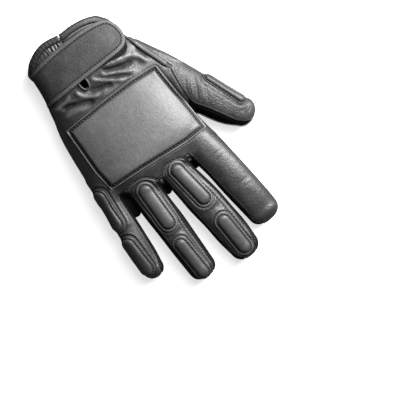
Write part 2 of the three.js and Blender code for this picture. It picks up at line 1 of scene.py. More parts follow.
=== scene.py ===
"""Padded leather combat glove, right hand, lying palm down.

All tables are in plan millimetres of the lying glove: +y to the fingertips, -x to the thumb, z up from the surface it
lies on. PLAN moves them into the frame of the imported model. The leather is a distance field built from the same
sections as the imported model; panels are cut out of it along their seams, and pads, strap, bindings, piping and
stitches are laid on it.
"""
import math

import bpy
import numpy as np
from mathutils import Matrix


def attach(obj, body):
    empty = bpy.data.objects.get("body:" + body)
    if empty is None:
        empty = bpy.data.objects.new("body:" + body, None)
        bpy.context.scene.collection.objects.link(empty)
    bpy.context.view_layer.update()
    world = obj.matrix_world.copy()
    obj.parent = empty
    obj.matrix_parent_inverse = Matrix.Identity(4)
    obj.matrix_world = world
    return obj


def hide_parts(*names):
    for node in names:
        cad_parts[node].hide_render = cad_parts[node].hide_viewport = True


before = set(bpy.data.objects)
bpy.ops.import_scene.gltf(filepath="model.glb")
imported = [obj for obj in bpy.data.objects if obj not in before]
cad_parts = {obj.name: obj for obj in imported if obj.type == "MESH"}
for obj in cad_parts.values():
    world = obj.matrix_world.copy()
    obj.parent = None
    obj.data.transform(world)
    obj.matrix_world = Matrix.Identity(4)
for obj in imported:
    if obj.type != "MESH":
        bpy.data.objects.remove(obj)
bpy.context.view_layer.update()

import openvdb as vdb
from mathutils import Matrix, Vector

MM = 0.001
PLAN = np.array([8.9, -21.5, 0.0])
H = 0.5                                   # grid step of the leather field
LO = np.array([-96.0, -106.0, -2.0])
HI = np.array([78.0, 150.0, 45.0])
N = tuple(int(round((HI[i] - LO[i]) / H)) + 1 for i in range(3))
GX, GY, GZ = (LO[i] + H * np.arange(N[i]) for i in range(3))
GX, GY, GZ = GX.astype(np.float32), GY.astype(np.float32), GZ.astype(np.float32)
X2, Y2 = np.meshgrid(GX, GY, indexing="ij")

# ------------------------------------------------------------------ camera
FRAME_WIDTH = 332.0                       # mm seen across the picture
LENS, SENSOR = 200.0, 36.0
AIM = np.array([-4.9, 81.7, 24.0]) + PLAN
camera = bpy.data.objects.new("camera", bpy.data.cameras.new("camera"))
bpy.context.scene.collection.objects.link(camera)
camera.data.lens, camera.data.sensor_width = LENS, SENSOR
camera.data.clip_start, camera.data.clip_end = 0.05, 50.0
camera.rotation_mode = "QUATERNION"
camera.location = Vector(AIM * MM) + Vector((0, 0, FRAME_WIDTH * MM * LENS / SENSOR))
right, up = Vector((-0.77715, 0.62932, 0)), Vector((-0.62932, -0.77715, 0))
camera.rotation_quaternion = Matrix((right, up, right.cross(up))).transposed().to_quaternion()
bpy.context.scene.camera = camera

# ------------------------------------------------------------------ tables
BODY = [  # y, left, right, underside, top
    (-112, -36.5, 41.0, 5.2, 33.4), (-94, -37.6, 41.4, 5.4, 33.0), (-82, -39.4, 40.4, 5.4, 34.2),
    (-64, -42.8, 42.8, 4.8, 34.8), (-53, -47.6, 46.4, 3.2, 35.6), (-45, -49.6, 48.4, 2.2, 33.8),
    (-36, -50.0, 51.4, 1.3, 34.6), (-12, -49.6, 56.2, 0.9, 35.8), (14, -48.8, 59.0, 0.9, 37.2),
    (30, -48.2, 59.4, 1.0, 36.2), (46, -48.8, 60.4, 2.0, 29.4),
]
SLANT = (12.0, 58.0, 15.0, 0.0)           # the knuckle line falls back towards the little finger
DIGITS = {  # x, y, half width, underside, top; then the tip
    "index": ([(-34.6, 34, 13.0, 3.4, 28.4), (-35.6, 48, 14.6, 3.2, 29.4), (-37.6, 70, 14.5, 5.6, 29.2),
               (-38.8, 90, 14.6, 4.9, 27.4), (-39.9, 108, 14.3, 2.6, 24.8), (-40.4, 120.5, 13.8, 1.2, 21.8)], (-40.6, 131.2)),
    "middle": ([(-4.0, 35, 11.8, 3.4, 28.6), (-4.4, 49, 12.9, 3.2, 29.8), (-6.0, 66, 13.8, 6.0, 30.0), (-7.3, 83, 14.6, 6.4, 29.2),
                (-8.5, 102, 14.2, 4.4, 26.8), (-9.2, 120, 14.2, 1.8, 23.8), (-9.6, 133.5, 12.9, 1.2, 21.4)], (-9.6, 144.6)),
    "ring": ([(25.8, 28, 12.0, 3.4, 28.6), (26.0, 44, 13.2, 3.2, 29.2), (26.8, 66, 13.4, 5.8, 29.0), (27.1, 83, 13.3, 5.6, 28.0),
              (28.0, 101, 12.8, 3.6, 25.4), (29.0, 125, 11.9, 1.2, 21.2)], (29.2, 135.6)),
    "pinky": ([(50.6, 13, 7.6, 4.0, 26.0), (52.0, 28, 8.4, 3.0, 26.6), (53.9, 45, 8.9, 3.0, 25.6), (56.4, 61, 10.0, 4.6, 25.6),
               (58.2, 76, 10.0, 3.6, 24.0), (59.9, 90, 9.9, 1.6, 21.8), (61.2, 100, 9.2, 1.2, 20.0)], (62.4, 109.2)),
    "thumb": ([(-39.0, -50, 8.6, 5.0, 25.0), (-47.2, -30, 12.4, 2.4, 28.4), (-52.5, -12, 14.6, 1.4, 29.5), (-58.6, 4, 14.6, 1.4, 29.0),
               (-65.2, 21.6, 15.0, 1.4, 28.0), (-72.9, 37.5, 13.9, 1.4, 26.0), (-78.6, 46.2, 12.2, 1.4, 23.8)], (-84.6, 55.0)),
}
WEBS = [  # the strips slope down through the crotches: from, to, radius
    ((-19.3, 47.0, 15.5), (-20.5, 56.0, 8.2), 3.4), ((10.5, 47.5, 15.5), (10.9, 58.0, 8.0), 3.8), ((42.2, 39.0, 14.5), (43.2, 55.6, 7.8), 4.5),
]
SIDE_SEAM = [(-130, 15.5), (-60, 14.6), (-20, 12.0), (30, 10.4), (70, 10.2), (110, 8.8), (160, 7.2)]
CUFF_EDGE = [(-70, -82), (-39, -86), (-35, -91), (-25, -95.6), (-12, -98), (0, -98.4), (10, -100.6), (17, -101.2), (27, -99),
             (35, -95), (42, -89), (70, -84)]
VENT = [(0.0, -112, 0.6), (1.2, -92, 0.6), (3.4, -81, 0.8), (6.2, -70, 2.2), (8.9, -58, 3.0), (9.2, -51.6, 2.9), (9.2, -49.4, 1.6)]
STRIPS = {
    "index_middle": [(-37.5, 150), (-34.5, 131.2), (-29.6, 126), (-28.7, 110), (-26.5, 87), (-24.2, 62), (-22.6, 50), (-21.4, 45.6),
                     (-16.6, 45.6), (-15.4, 50), (-17.4, 66), (-19.8, 82), (-20.8, 104), (-20.6, 126), (-17.6, 138.6), (-12.5, 150)],
    "middle_ring": [(-6, 150), (-2.6, 141.4), (1.4, 135), (3.2, 116), (4.6, 90), (6.0, 66), (6.6, 50), (7.6, 45.6), (13.6, 45.6),
                    (14.8, 50), (15.6, 66), (17.9, 92), (19.0, 114), (20.4, 128), (26.5, 142)],
    "ring_pinky": [(33, 142), (36.4, 130), (37.9, 116), (37.8, 90), (37.2, 60), (37.0, 42), (38.0, 36), (45.4, 36), (46.6, 42),
                   (47.8, 54), (49.8, 75), (53.2, 96), (60.5, 114)],
}
MIDDLE_BACK = [(-17.5, 47.6), (-12, 43.4), (-4, 41.8), (4, 43.4), (8.5, 48.2), (6.0, 66), (4.6, 90), (3.2, 116), (1.4, 135),
               (-2.6, 141.4), (-6, 150), (-12.5, 150), (-17.6, 138.6), (-20.6, 126), (-20.8, 104), (-19.8, 82), (-17.4, 66)]
RING_BACK = [(11.5, 48.2), (14.6, 43.6), (20, 38.4), (28, 36.4), (35, 36.6), (39.2, 38.6), (37.2, 60), (37.8, 90), (37.9, 116),
             (36.4, 130), (33, 142), (26.5, 142), (20.4, 128), (19.0, 114), (17.9, 92), (15.6, 66)]
THUMB_BACK_SEAM = [(-92, 62), (-84.4, 58.6), (-79.6, 56.8), (-74.4, 53.9), (-70.0, 49.4), (-65.6, 41.2), (-62.0, 34.2), (-56.2, 23.8),
                   (-51.8, 16.6), (-50.6, 11.0), (-52.0, -4), (-54.4, -18), (-52.2, -27), (-49.0, -37), (-46.2, -46), (-43.4, -56),
                   (-39.4, -67), (-34.5, -78), (-31, -120)]
THUMB_FRONT_SEAM = [(-46.4, 30), (-47.2, 22), (-47.6, 12), (-48.8, 0), (-52.5, -13), (-60, -24), (-72, -31)]
STRAP = [(60, -57.2), (45, -56.6), (25, -55.8), (0, -55.6), (-15, -55.3), (-30, -55.4), (-36, -56.8), (-40.2, -60.8), (-42.0, -66),
         (-42.4, -72), (-41.0, -78.6), (-38.4, -83.2), (-34.5, -85.8), (-25, -87.8), (-16, -88.9), (0, -89.5), (12, -89.5),
         (25, -88.8), (43, -85.8), (60, -84)]
PATCH = [(-38.6, -83), (-40.2, -60), (-38.4, -54.6), (-34.5, -51.8), (-25, -50.8), (-15, -52.6), (-9, -57), (-5, -64), (-6.5, -84)]
PLATE = [(-43.0, -25.6), (-22, -28.0), (10, -28.9), (42, -28.8), (44.6, 10), (43.6, 26), (15, 29.0), (-8, 31.8), (-28, 34.2), (-43.2, 34.6)]
THUMB_PIPING = [(-54.6, -19.5), (-52.8, -26), (-50.8, -33), (-48.6, -40), (-46.6, -46.4), (-45.0, -52.4), (-43.2, -58.6), (-41.0, -64)]
PADS = {  # axis from the wrist end to the tip end, half width of the raised part, its rise, width of the stitched edge
    "middle_knuckle_pad": ((-5.8, 50.8), (-8.4, 82.2), 4.9, 3.5, 2.9), "middle_tip_pad": ((-9.2, 107.6), (-9.4, 134.6), 4.9, 3.4, 2.5),
    "ring_knuckle_pad": ((25.7, 47.8), (27.4, 79.4), 5.1, 3.5, 2.9), "ring_tip_pad": ((30.5, 100.2), (30.5, 129.4), 4.3, 3.3, 2.4),
    "pinky_knuckle_pad": ((58.8, 28.0), (62.2, 53.6), 5.9, 3.2, 2.0), "pinky_tip_pad": ((65.4, 73.6), (66.6, 97.6), 6.1, 3.2, 2.0),
    "thumb_pad": ((-74.1, 7.6), (-84.4, 36.8), 4.1, 3.3, 1.8),
}


# ------------------------------------------------------------------ small numeric helpers
def hermite(xk, yk, x):
    xk, yk, x = np.asarray(xk, float), np.asarray(yk, float), np.asarray(x, float)
    d = np.gradient(yk, xk) if len(xk) > 1 else np.zeros(1)
    i = np.clip(np.searchsorted(xk, x) - 1, 0, len(xk) - 2)
    h = xk[i + 1] - xk[i]
    t = (x - xk[i]) / h
    return ((2 * t**3 - 3 * t**2 + 1) * yk[i] + (t**3 - 2 * t**2 + t) * h * d[i]
            + (-2 * t**3 + 3 * t**2) * yk[i + 1] + (t**3 - t**2) * h * d[i + 1])


def curve(points, step=1.0, closed=False):
    P = np.asarray(points, float)
    n = len(P)
    if closed:
        P = np.vstack([P[-2:], P, P[:3]])
    l = np.r_[0, np.cumsum(np.linalg.norm(np.diff(P, axis=0), axis=1))]
    a, b = (l[2], l[2 + n]) if closed else (0, l[-1])
    s = np.linspace(a, b, max(3, int((b - a) / step) + 1))
    out = np.stack([hermite(l, P[:, k], s) for k in range(P.shape[1])], 1)
    return out[:-1] if closed else out


def straight(points, step=1.0):
    P = np.asarray(points, float)
    l = np.r_[0, np.cumsum(np.linalg.norm(np.diff(P, axis=0), axis=1))]
    s = np.linspace(0, l[-1], max(3, int(l[-1] / step) + 1))
    return np.stack([np.interp(s, l, P[:, k]) for k in range(P.shape[1])], 1)


def length_along(P):
    return np.r_[0, np.cumsum(np.linalg.norm(np.diff(P, axis=0), axis=1))]


def smoothstep(a, b, x):
    t = np.clip((x - a) / (b - a), 0, 1)
    return t * t * (3 - 2 * t)


def smin(a, b, k):
    h = np.clip(0.5 + 0.5 * (b - a) / k, 0, 1)
    return b + (a - b) * h - k * h * (1 - h)


def smax(a, b, k):
    return -smin(-a, -b, k)


def unit(v):
    return v / np.maximum(np.linalg.norm(v, axis=-1, keepdims=True), 1e-9)


def signed_outline(poly, X, Y):
    """Distance to a plan outline, negative inside."""
    P = np.asarray(poly, float)
    best = np.full(X.shape, 1e9, np.float32)
    inside = np.zeros(X.shape, bool)
    for (ax, ay), (bx, by) in zip(P, np.roll(P, -1, 0)):
        ex, ey = bx - ax, by - ay
        wx, wy = X - ax, Y - ay
        t = np.clip((wx * ex + wy * ey) / max(ex * ex + ey * ey, 1e-9), 0, 1)
        best = np.minimum(best, (wx - t * ex) ** 2 + (wy - t * ey) ** 2)
        cross = ((ay <= Y) != (by <= Y)) & (wx < (wy * ex) / (ey if abs(ey) > 1e-9 else 1e-9))
        inside ^= cross
    d = np.sqrt(best)
    return np.where(inside, -d, d).astype(np.float32)


def plan_line(points, reach):
    """Distance, signed side and arc length of the nearest point of a plan line, within reach of it."""
    P = np.asarray(points, float)
    L = length_along(P)
    best = np.full(X2.shape, reach + 1.0, np.float32)
    side = np.zeros(X2.shape, np.float32)
    along = np.zeros(X2.shape, np.float32)
    for k in range(len(P) - 1):
        a, b = P[k], P[k + 1]
        i0, i1 = (np.clip(((min(a[0], b[0]) - reach - LO[0]) / H, (max(a[0], b[0]) + reach - LO[0]) / H), 0, N[0] - 1)).astype(int)
        j0, j1 = (np.clip(((min(a[1], b[1]) - reach - LO[1]) / H, (max(a[1], b[1]) + reach - LO[1]) / H), 0, N[1] - 1)).astype(int)
        w = (slice(i0, i1 + 1), slice(j0, j1 + 1))
        ex, ey = b - a
        wx, wy = X2[w] - a[0], Y2[w] - a[1]
        t = np.clip((wx * ex + wy * ey) / max(ex * ex + ey * ey, 1e-9), 0, 1)
        d = np.hypot(wx - t * ex, wy - t * ey)
        near = d < best[w]
        best[w] = np.where(near, d, best[w])
        side[w] = np.where(near, np.sign(ex * wy - ey * wx), side[w])
        along[w] = np.where(near, L[k] + t * (L[k + 1] - L[k]), along[w])
    return best, side, along, L[-1]


def value_noise(u, v, seed):
    """Smooth random field of unit cells, from -1 to 1."""
    table = np.random.default_rng(seed).uniform(-1, 1, (64, 64)).astype(np.float32)
    iu, iv = np.floor(u).astype(int), np.floor(v).astype(int)
    fu, fv = (u - iu).astype(np.float32), (v - iv).astype(np.float32)
    fu, fv = fu * fu * fu * (fu * (6 * fu - 15) + 10), fv * fv * fv * (fv * (6 * fv - 15) + 10)
    a, b = table[iu % 64, iv % 64], table[(iu + 1) % 64, iv % 64]
    c, d = table[iu % 64, (iv + 1) % 64], table[(iu + 1) % 64, (iv + 1) % 64]
    return (a * (1 - fu) + b * fu) * (1 - fv) + (c * (1 - fu) + d * fu) * fv


# ------------------------------------------------------------------ the hand as a distance field
def loft(rings):
    m, n, _ = rings.shape
    i = np.arange(n)
    P = np.vstack([rings.reshape(-1, 3), rings[0].mean(0), rings[-1].mean(0)])
    Q = np.concatenate([np.stack([k * n + i, k * n + (i + 1) % n, (k + 1) * n + (i + 1) % n, (k + 1) * n + i], 1) for k in range(m - 1)])
    T = np.concatenate([np.stack([np.full(n, m * n), (i + 1) % n, i], 1),
                        np.stack([np.full(n, m * n + 1), (m - 1) * n + i, (m - 1) * n + (i + 1) % n], 1)])
    return P.astype(np.float32), T.astype(np.uint32), Q.astype(np.uint32)


def section(sides, top, under):
    a = np.linspace(0, 2 * math.pi, sides, endpoint=False)
    n = np.where(np.sin(a) >= 0, top, under)
    c, s = np.cos(a), np.sin(a)
    return np.sign(c) * np.abs(c) ** (2 / n), np.sign(s) * np.abs(s) ** (2 / n)


def body_rings(sides=180):
    u, v = section(sides, 2.5, 3.4)
    T = np.array(BODY, float)
    ys = np.arange(T[0, 0], T[-1, 0] + 0.01, 1.5)
    rows = [(y, [hermite(T[:, 0], T[:, k], y) for k in range(1, 5)], 1.0) for y in ys]
    for w in np.sin(np.linspace(0, math.pi / 2, 12))[1:]:
        rows.append((T[-1, 0] + 5.0 * w, list(T[-1, 1:]), max(0.0, 1 - w**2.2) ** (1 / 2.2)))
    out = []
    for y, (xl, xr, zb, zt), squash in rows:
        zc, cx, hw = zb + (zt - zb) * 0.42, (xl + xr) / 2, (xr - xl) / 2
        x = cx + hw * u * (0.6 + 0.4 * squash)
        s = np.clip((x - SLANT[0]) / (SLANT[1] - SLANT[0]), 0, 1)
        w = np.clip((y - SLANT[3]) / (T[-1, 0] - SLANT[3]), 0, 1)
        z = zc + np.where(v >= 0, zt - zc, zc - zb) * v * squash
        out.append(np.stack([x, y - SLANT[2] * s * s * (3 - 2 * s) * w, z], 1))
    return np.array(out)


def digit_rings(rows, tip, sides=120):
    u, v = section(sides, 2.25, 2.8)
    T = np.array(rows, float)
    l = length_along(T[:, :2])
    s = np.linspace(0, l[-1], int(l[-1] / 1.2))
    S = np.stack([hermite(l, T[:, k], s) for k in range(5)], 1)
    t = unit(np.gradient(S[:, :2], axis=0))
    end = np.array(tip) - T[-1, :2]
    reach = np.linalg.norm(end)
    rows = [(S[i], t[i], 1.0) for i in range(len(S))]
    for w in np.sin(np.linspace(0, math.pi / 2, 16))[1:]:
        r = S[-1].copy()
        r[:2] += end * w
        rows.append((r, unit(t[-1] * (1 - w) + end / reach * w), max(0.0, 1 - w**2.3) ** (1 / 2.3)))
    out = []
    for (x, y, hw, zb, zt), (tx, ty), squash in rows:
        zc = zb + (zt - zb) * 0.46
        z = zc + np.where(v >= 0, zt - zc, zc - zb) * v * squash
        out.append(np.stack([x + ty * hw * u * squash, y - tx * hw * u * squash, z], 1))
    return np.array(out)


def field_of(rings, outside=7.0, inside=5.0):
    """Distance to a closed loft on the whole grid, cut off at the two band widths."""
    P, T, Q = loft(rings)
    g = vdb.FloatGrid.createLevelSetFromPolygons(P, T, Q, transform=vdb.createLinearTransform(voxelSize=H),
                                                 exBandWidth=outside / H, inBandWidth=inside / H)
    a = np.empty(N, np.float32)
    g.copyToArray(a, ijk=tuple(int(round(v / H)) for v in LO))
    return a


def window(low, high, margin=0.0):
    i = [max(0, int(math.floor((low[k] - margin - LO[k]) / H))) for k in range(3)]
    j = [min(N[k], int(math.ceil((high[k] + margin - LO[k]) / H)) + 1) for k in range(3)]
    return tuple(slice(a, b) for a, b in zip(i, j))


D0 = field_of(body_rings())
fingers = np.full(N, 7.0, np.float32)
for name, (rows, tip) in DIGITS.items():
    rings = digit_rings(rows, tip)
    d = field_of(rings)
    w = window(rings.reshape(-1, 3).min(0), rings.reshape(-1, 3).max(0), 7.0)
    if name == "thumb":
        w = window(rings.reshape(-1, 3).min(0), rings.reshape(-1, 3).max(0), 12.0)
        D0[w] = smin(D0[w], d[w], (2.6 + 5.4 * (1 - smoothstep(-4, 13, GY[w[1]])))[None, :, None].astype(np.float32))
    else:
        fingers[w] = smin(fingers[w], d[w], 1.6)
D0 = smin(D0, fingers, (2.6 + 3.4 * smoothstep(-50, -38, GX))[:, None, None].astype(np.float32))
for a, b, r in WEBS:
    a, b = np.array(a, float), np.array(b, float)
    w = window(np.minimum(a, b) - r, np.maximum(a, b) + r, 4.0)
    q, e = (GX[w[0]][:, None, None] - a[0], GY[w[1]][None, :, None] - a[1], GZ[w[2]][None, None, :] - a[2]), b - a
    t = np.clip((q[0] * e[0] + q[1] * e[1] + q[2] * e[2]) / (e @ e), 0, 1)
    d = np.sqrt(sum((q[k] - t * e[k]) ** 2 for k in range(3))) - r
    D0[w] = smin(D0[w], d.astype(np.float32), 2.2)
del fingers, d
for axis in range(3):                      # one light smoothing pass takes out the facets
    D0 = 0.5 * D0 + 0.25 * (np.roll(D0, 1, axis) + np.roll(D0, -1, axis))


def sample(A, P):
    q = (np.asarray(P) - LO) / H
    i = np.clip(np.floor(q).astype(int), 0, np.array(N) - 2)
    f = np.clip(q - i, 0, 1).astype(np.float32)
    x, y, z = i.T
    fx, fy, fz = f.T
    c00 = A[x, y, z] * (1 - fx) + A[x + 1, y, z] * fx
    c10 = A[x, y + 1, z] * (1 - fx) + A[x + 1, y + 1, z] * fx
    c01 = A[x, y, z + 1] * (1 - fx) + A[x + 1, y, z + 1] * fx
    c11 = A[x, y + 1, z + 1] * (1 - fx) + A[x + 1, y + 1, z + 1] * fx
    return (c00 * (1 - fy) + c10 * fy) * (1 - fz) + (c01 * (1 - fy) + c11 * fy) * fz


def normals(A, P, e=0.7):
    P = np.asarray(P, float)
    g = [sample(A, P + np.eye(3)[k] * e) - sample(A, P - np.eye(3)[k] * e) for k in range(3)]
    return unit(np.stack(g, 1).astype(float))


def stick(A, P, steps=3, height=0.0):
    """Moves points onto the level of a field, and gives the outward directions there."""
    P = np.array(P, float)
    for _ in range(steps):
        P -= normals(A, P) * np.clip(sample(A, P) - height, -2, 2)[:, None]
    return P, normals(A, P)


def surface_map(A, top=True):
    B = A if not top else A[:, :, ::-1]
    inside = B < 0
    k = np.argmax(inside, axis=2)
    has = np.take_along_axis(inside, k[..., None], 2)[..., 0]
    k = np.clip(k, 1, N[2] - 1)
    a1 = np.take_along_axis(B, k[..., None], 2)[..., 0]
    a0 = np.take_along_axis(B, k[..., None] - 1, 2)[..., 0]
    t = np.clip(a0 / np.maximum(a0 - a1, 1e-6), 0, 1)
    pos = k - 1 + t
    z = GZ[-1] - H * pos if top else GZ[0] + H * pos
    return np.where(has, z, np.nan).astype(np.float32)


TOP, UNDER = surface_map(D0, True), surface_map(D0, False)


def height(P, top=True):
    """Height of the skin over plan points; nan where there's none."""
    M = TOP if top else UNDER
    q = (np.asarray(P, float)[:, :2] - LO[:2]) / H
    i = np.clip(np.floor(q).astype(int), 0, np.array(N[:2]) - 2)
    f = q - i
    x, y = i.T
    fx, fy = f.T
    return (M[x, y] * (1 - fx) + M[x + 1, y] * fx) * (1 - fy) + (M[x, y + 1] * (1 - fx) + M[x + 1, y + 1] * fx) * fy


def lay(points, top=True, A=None, lift=0.0):
    """Plan points laid on the skin, with the outward directions there."""
    P = np.asarray(points, float)
    z = height(P, top)
    P = np.column_stack([P[:, :2], np.where(np.isnan(z), 15.0, z)])
    return stick(D0 if A is None else A, P, 4, lift)


# ------------------------------------------------------------------ folds, creases and grain of the leather
def fold(field, points, rise, width, ends=6.0):
    d, _, along, total = plan_line(curve(points, 1.0), 3.2 * width)
    fade = smoothstep(0, ends, along) * smoothstep(0, ends, total - along)
    seed = int(abs(points[0][0]) * 7 + len(points)) % 50
    fade = fade * (1 + 0.28 * value_noise(along / 5.5 + seed, 0 * along, seed))
    wide = width * (1 + 0.25 * value_noise(along / 4.5 + seed, 0 * along + 3.3, seed + 1))
    field += np.where(d < 3.2 * width, rise * np.exp(-((d / wide) ** 2)) * fade * (1 - smoothstep(2.4, 3.2, d / width)), 0).astype(np.float32)


top = np.zeros(X2.shape, np.float32)
# wrist folds between the strap and the back pad, pushed up by the strap
for points, rise, width in [
    ([(19.4, -54), (18.6, -49.4), (16.4, -45.0), (12.4, -41.6), (8.0, -39.4), (2.0, -38.0)], 1.35, 1.9),
    ([(39, -48.4), (31, -46.6), (24.6, -44.0), (18.6, -41.0), (14.0, -38.2), (9.6, -35.6)], -1.9, 2.3),
    ([(12.0, -46.8), (7, -44.8), (3, -43.0), (-2, -41.4), (-6, -39.8), (-10, -37.0)], -1.8, 2.2),
    ([(3.0, -54), (0.6, -49.8), (-3, -46.6), (-7, -43.8), (-11, -40.6), (-15.4, -37.2), (-21, -33.8)], 1.35, 2.0),
    ([(-3.6, -48), (-8, -45.6), (-12.5, -43), (-17, -40.2), (-22, -36.8), (-28, -33.2)], -1.0, 1.3),
    ([(-3.5, -51.4), (-9, -48), (-15, -45.0), (-20, -42.2), (-26, -38.6), (-32, -35)], 0.9, 1.7),
    ([(-8, -52.6), (-13.5, -50), (-18, -47.8), (-22.5, -45.8), (-28, -44.2), (-35, -42)], -2.0, 2.1),
    ([(-9, -55), (-16, -52.8), (-22, -51.0), (-29, -49.4), (-35.4, -47.6), (-39.8, -44), (-42.0, -39), (-43.0, -33)], 1.5, 2.7),
    ([(46, -51.6), (38, -50.6), (30, -51.2), (23, -54)], 1.0, 2.0),
    ([(42, -41.6), (34, -40.4), (26, -38.4), (18, -35)], 0.7, 2.2),
    ([(-46, -54), (-43.4, -48), (-44.6, -41), (-46.6, -34)], -0.8, 1.3),
]:
    fold(top, points, rise, width)
# valley between the thumb and the back of the hand, with the creases that run out of the crotch
for points, rise, width in [
    ([(-50.0, 7), (-51.0, -1), (-52.0, -9), (-53.0, -17)], 0.9, 4.0),
    ([(-52.4, 9), (-55.8, 0), (-61.0, -7)], -0.34, 0.8), ([(-53.8, 13.6), (-58.4, 4), (-64.8, -6)], 0.3, 0.9),
    ([(-55.6, 18), (-61.0, 8), (-67.4, -3)], -0.38, 0.8), ([(-57.6, 22), (-63.2, 12), (-69.4, 1)], 0.28, 0.9),
    ([(-59.8, 26), (-65.0, 17), (-70.0, 9)], -0.26, 0.8),
    # thumb end, where the leather crowds up against the tip seam
    ([(-88.5, 43), (-84.6, 45.6), (-80.5, 46.6), (-76, 45.4)], -0.9, 1.0),
    ([(-88, 47), (-84, 49.2), (-79.4, 49.8)], -0.6, 0.9),
    ([(-88.4, 45), (-84, 47.6), (-79, 48.4)], 0.5, 0.9),
    # knuckle creases of the index finger
    ([(-49, 61), (-42, 59.6), (-34, 60.4), (-27, 62.4)], -0.22, 1.2),
    ([(-50, 66.4), (-44, 64.6), (-38, 64.8), (-32, 66)], -0.16, 1.0),
    ([(-51, 93), (-45, 91.4), (-38, 91.6), (-31, 93.4)], -0.18, 1.1),
    ([(-50, 97.6), (-44, 96.4), (-38, 96.6)], -0.12, 0.9),
    # between the two pads of the middle and ring fingers
    ([(-19, 95.4), (-12, 94), (-5, 94.2), (2.4, 95.8)], -0.75, 2.2),
    ([(17.4, 91.4), (24, 90.2), (31, 90.4), (37, 92)], -0.7, 2.1),
    ([(50, 63), (56, 62.4), (62, 64), (66, 66)], -0.6, 1.8),
]:
    fold(top, points, rise, width)
# broad unevenness of the skin
top += 0.28 * value_noise(X2 / 17 + 3.1, Y2 / 21 + 8.7, 11) + 0.14 * value_noise(X2 / 7.3, Y2 / 9.1, 12)
# fine crosswise wrinkles: index finger, thumb, finger joints, wrist
env = smoothstep(40, 52, Y2) * (1 - smoothstep(118, 128, Y2)) * smoothstep(-54, -50, X2) * (1 - smoothstep(-27, -23, X2))
ridged = 1 - np.abs(value_noise(X2 / 4.2 + Y2 / 9.0, Y2 / 2.1 + X2 / 13.0, 21)) * 2
top += (0.03 * env * ridged).astype(np.float32)
c, s = 0.934, -0.357
ut, vt = X2 * c - Y2 * s, X2 * s + Y2 * c                         # across and along the thumb
env = smoothstep(50, 54, -X2)
top += (0.04 * env * (1 - 2 * np.abs(value_noise(ut / 3.4 + vt / 9, vt / 1.8, 22)))).astype(np.float32)
env = smoothstep(52, 56, -X2) * smoothstep(-18, -9, Y2) * (1 - smoothstep(14, 28, Y2))
ua, va = X2 * 0.81 - Y2 * 0.58, -X2 * 0.58 - Y2 * 0.81              # across and along the creases of the thumb base
top += (0.13 * env * (1 - 2 * np.abs(value_noise(ua / 2.0 + va / 24, va / 12, 24)))).astype(np.float32)
env = smoothstep(-55, -50, Y2) * (1 - smoothstep(-36, -31, Y2))
top += (0.10 * env * (1 - 2 * np.abs(value_noise((X2 + Y2 * 0.6) / 6, (Y2 - X2 * 0.25) / 2.2, 23)))).astype(np.float32)
# the cuff: a second soft roll on the thumb side, tight elastic gathers on the little-finger side
cuff_line = [(x, y) for x, y in curve(CUFF_EDGE, 1.5)]
CUFF = signed_outline([*cuff_line, (120, -84), (120, 200), (-120, 200), (-120, -82)], X2, Y2) * -1      # > 0 inside the glove
roll = np.exp(-(((CUFF - 6.9) / 1.7) ** 2)) * 1.0 - np.exp(-(((CUFF - 5.1) / 0.8) ** 2)) * 0.9 - np.exp(-(((CUFF - 9.4) / 0.9) ** 2)) * 0.7
top += (roll * (1 - smoothstep(-5, 0, X2)) * smoothstep(-39, -33, X2)).astype(np.float32)
phase = X2 * 2 * math.pi / 2.7 + 1.9 * value_noise(X2 / 5, Y2 / 12, 31)
phase = phase + 3.0 * value_noise(X2 / 4.1 + 5, Y2 / 6, 32)
gather = (np.sin(phase) * (0.75 + 0.5 * value_noise(X2 / 3.0, Y2 / 3.0, 33)) - 0.4) * smoothstep(1.5, 5, X2) * smoothstep(4.5, 7.0, CUFF) * (1 - smoothstep(11.0, 15.0, CUFF))
top += (0.46 * gather * (1 - 0.35 * smoothstep(8, 26, X2)) * (1 + 0.5 * value_noise(X2 / 2.2, Y2 / 3.4, 34))).astype(np.float32)

# the skin lies flat under the pads, and is drawn in along their edges
for (a, b, half, rise, edge) in PADS.values():
    a, b = np.array(a), np.array(b)
    t = np.clip(((X2 - a[0]) * (b - a)[0] + (Y2 - a[1]) * (b - a)[1]) / ((b - a) @ (b - a)), 0, 1)
    d = np.hypot(X2 - a[0] - t * (b - a)[0], Y2 - a[1] - t * (b - a)[1]) - half - edge
    top = (top * smoothstep(-0.5, 2.5, d) - 0.6 * np.exp(-(((d - 0.55) / 0.7) ** 2)) + 0.25 * np.exp(-(((d - 2.2) / 0.9) ** 2))).astype(np.float32)
d = signed_outline(PLATE, X2, Y2) - 3.7
top = (top * smoothstep(-0.5, 2.5, d) - 0.4 * np.exp(-(((d - 0.4) / 0.7) ** 2))).astype(np.float32)

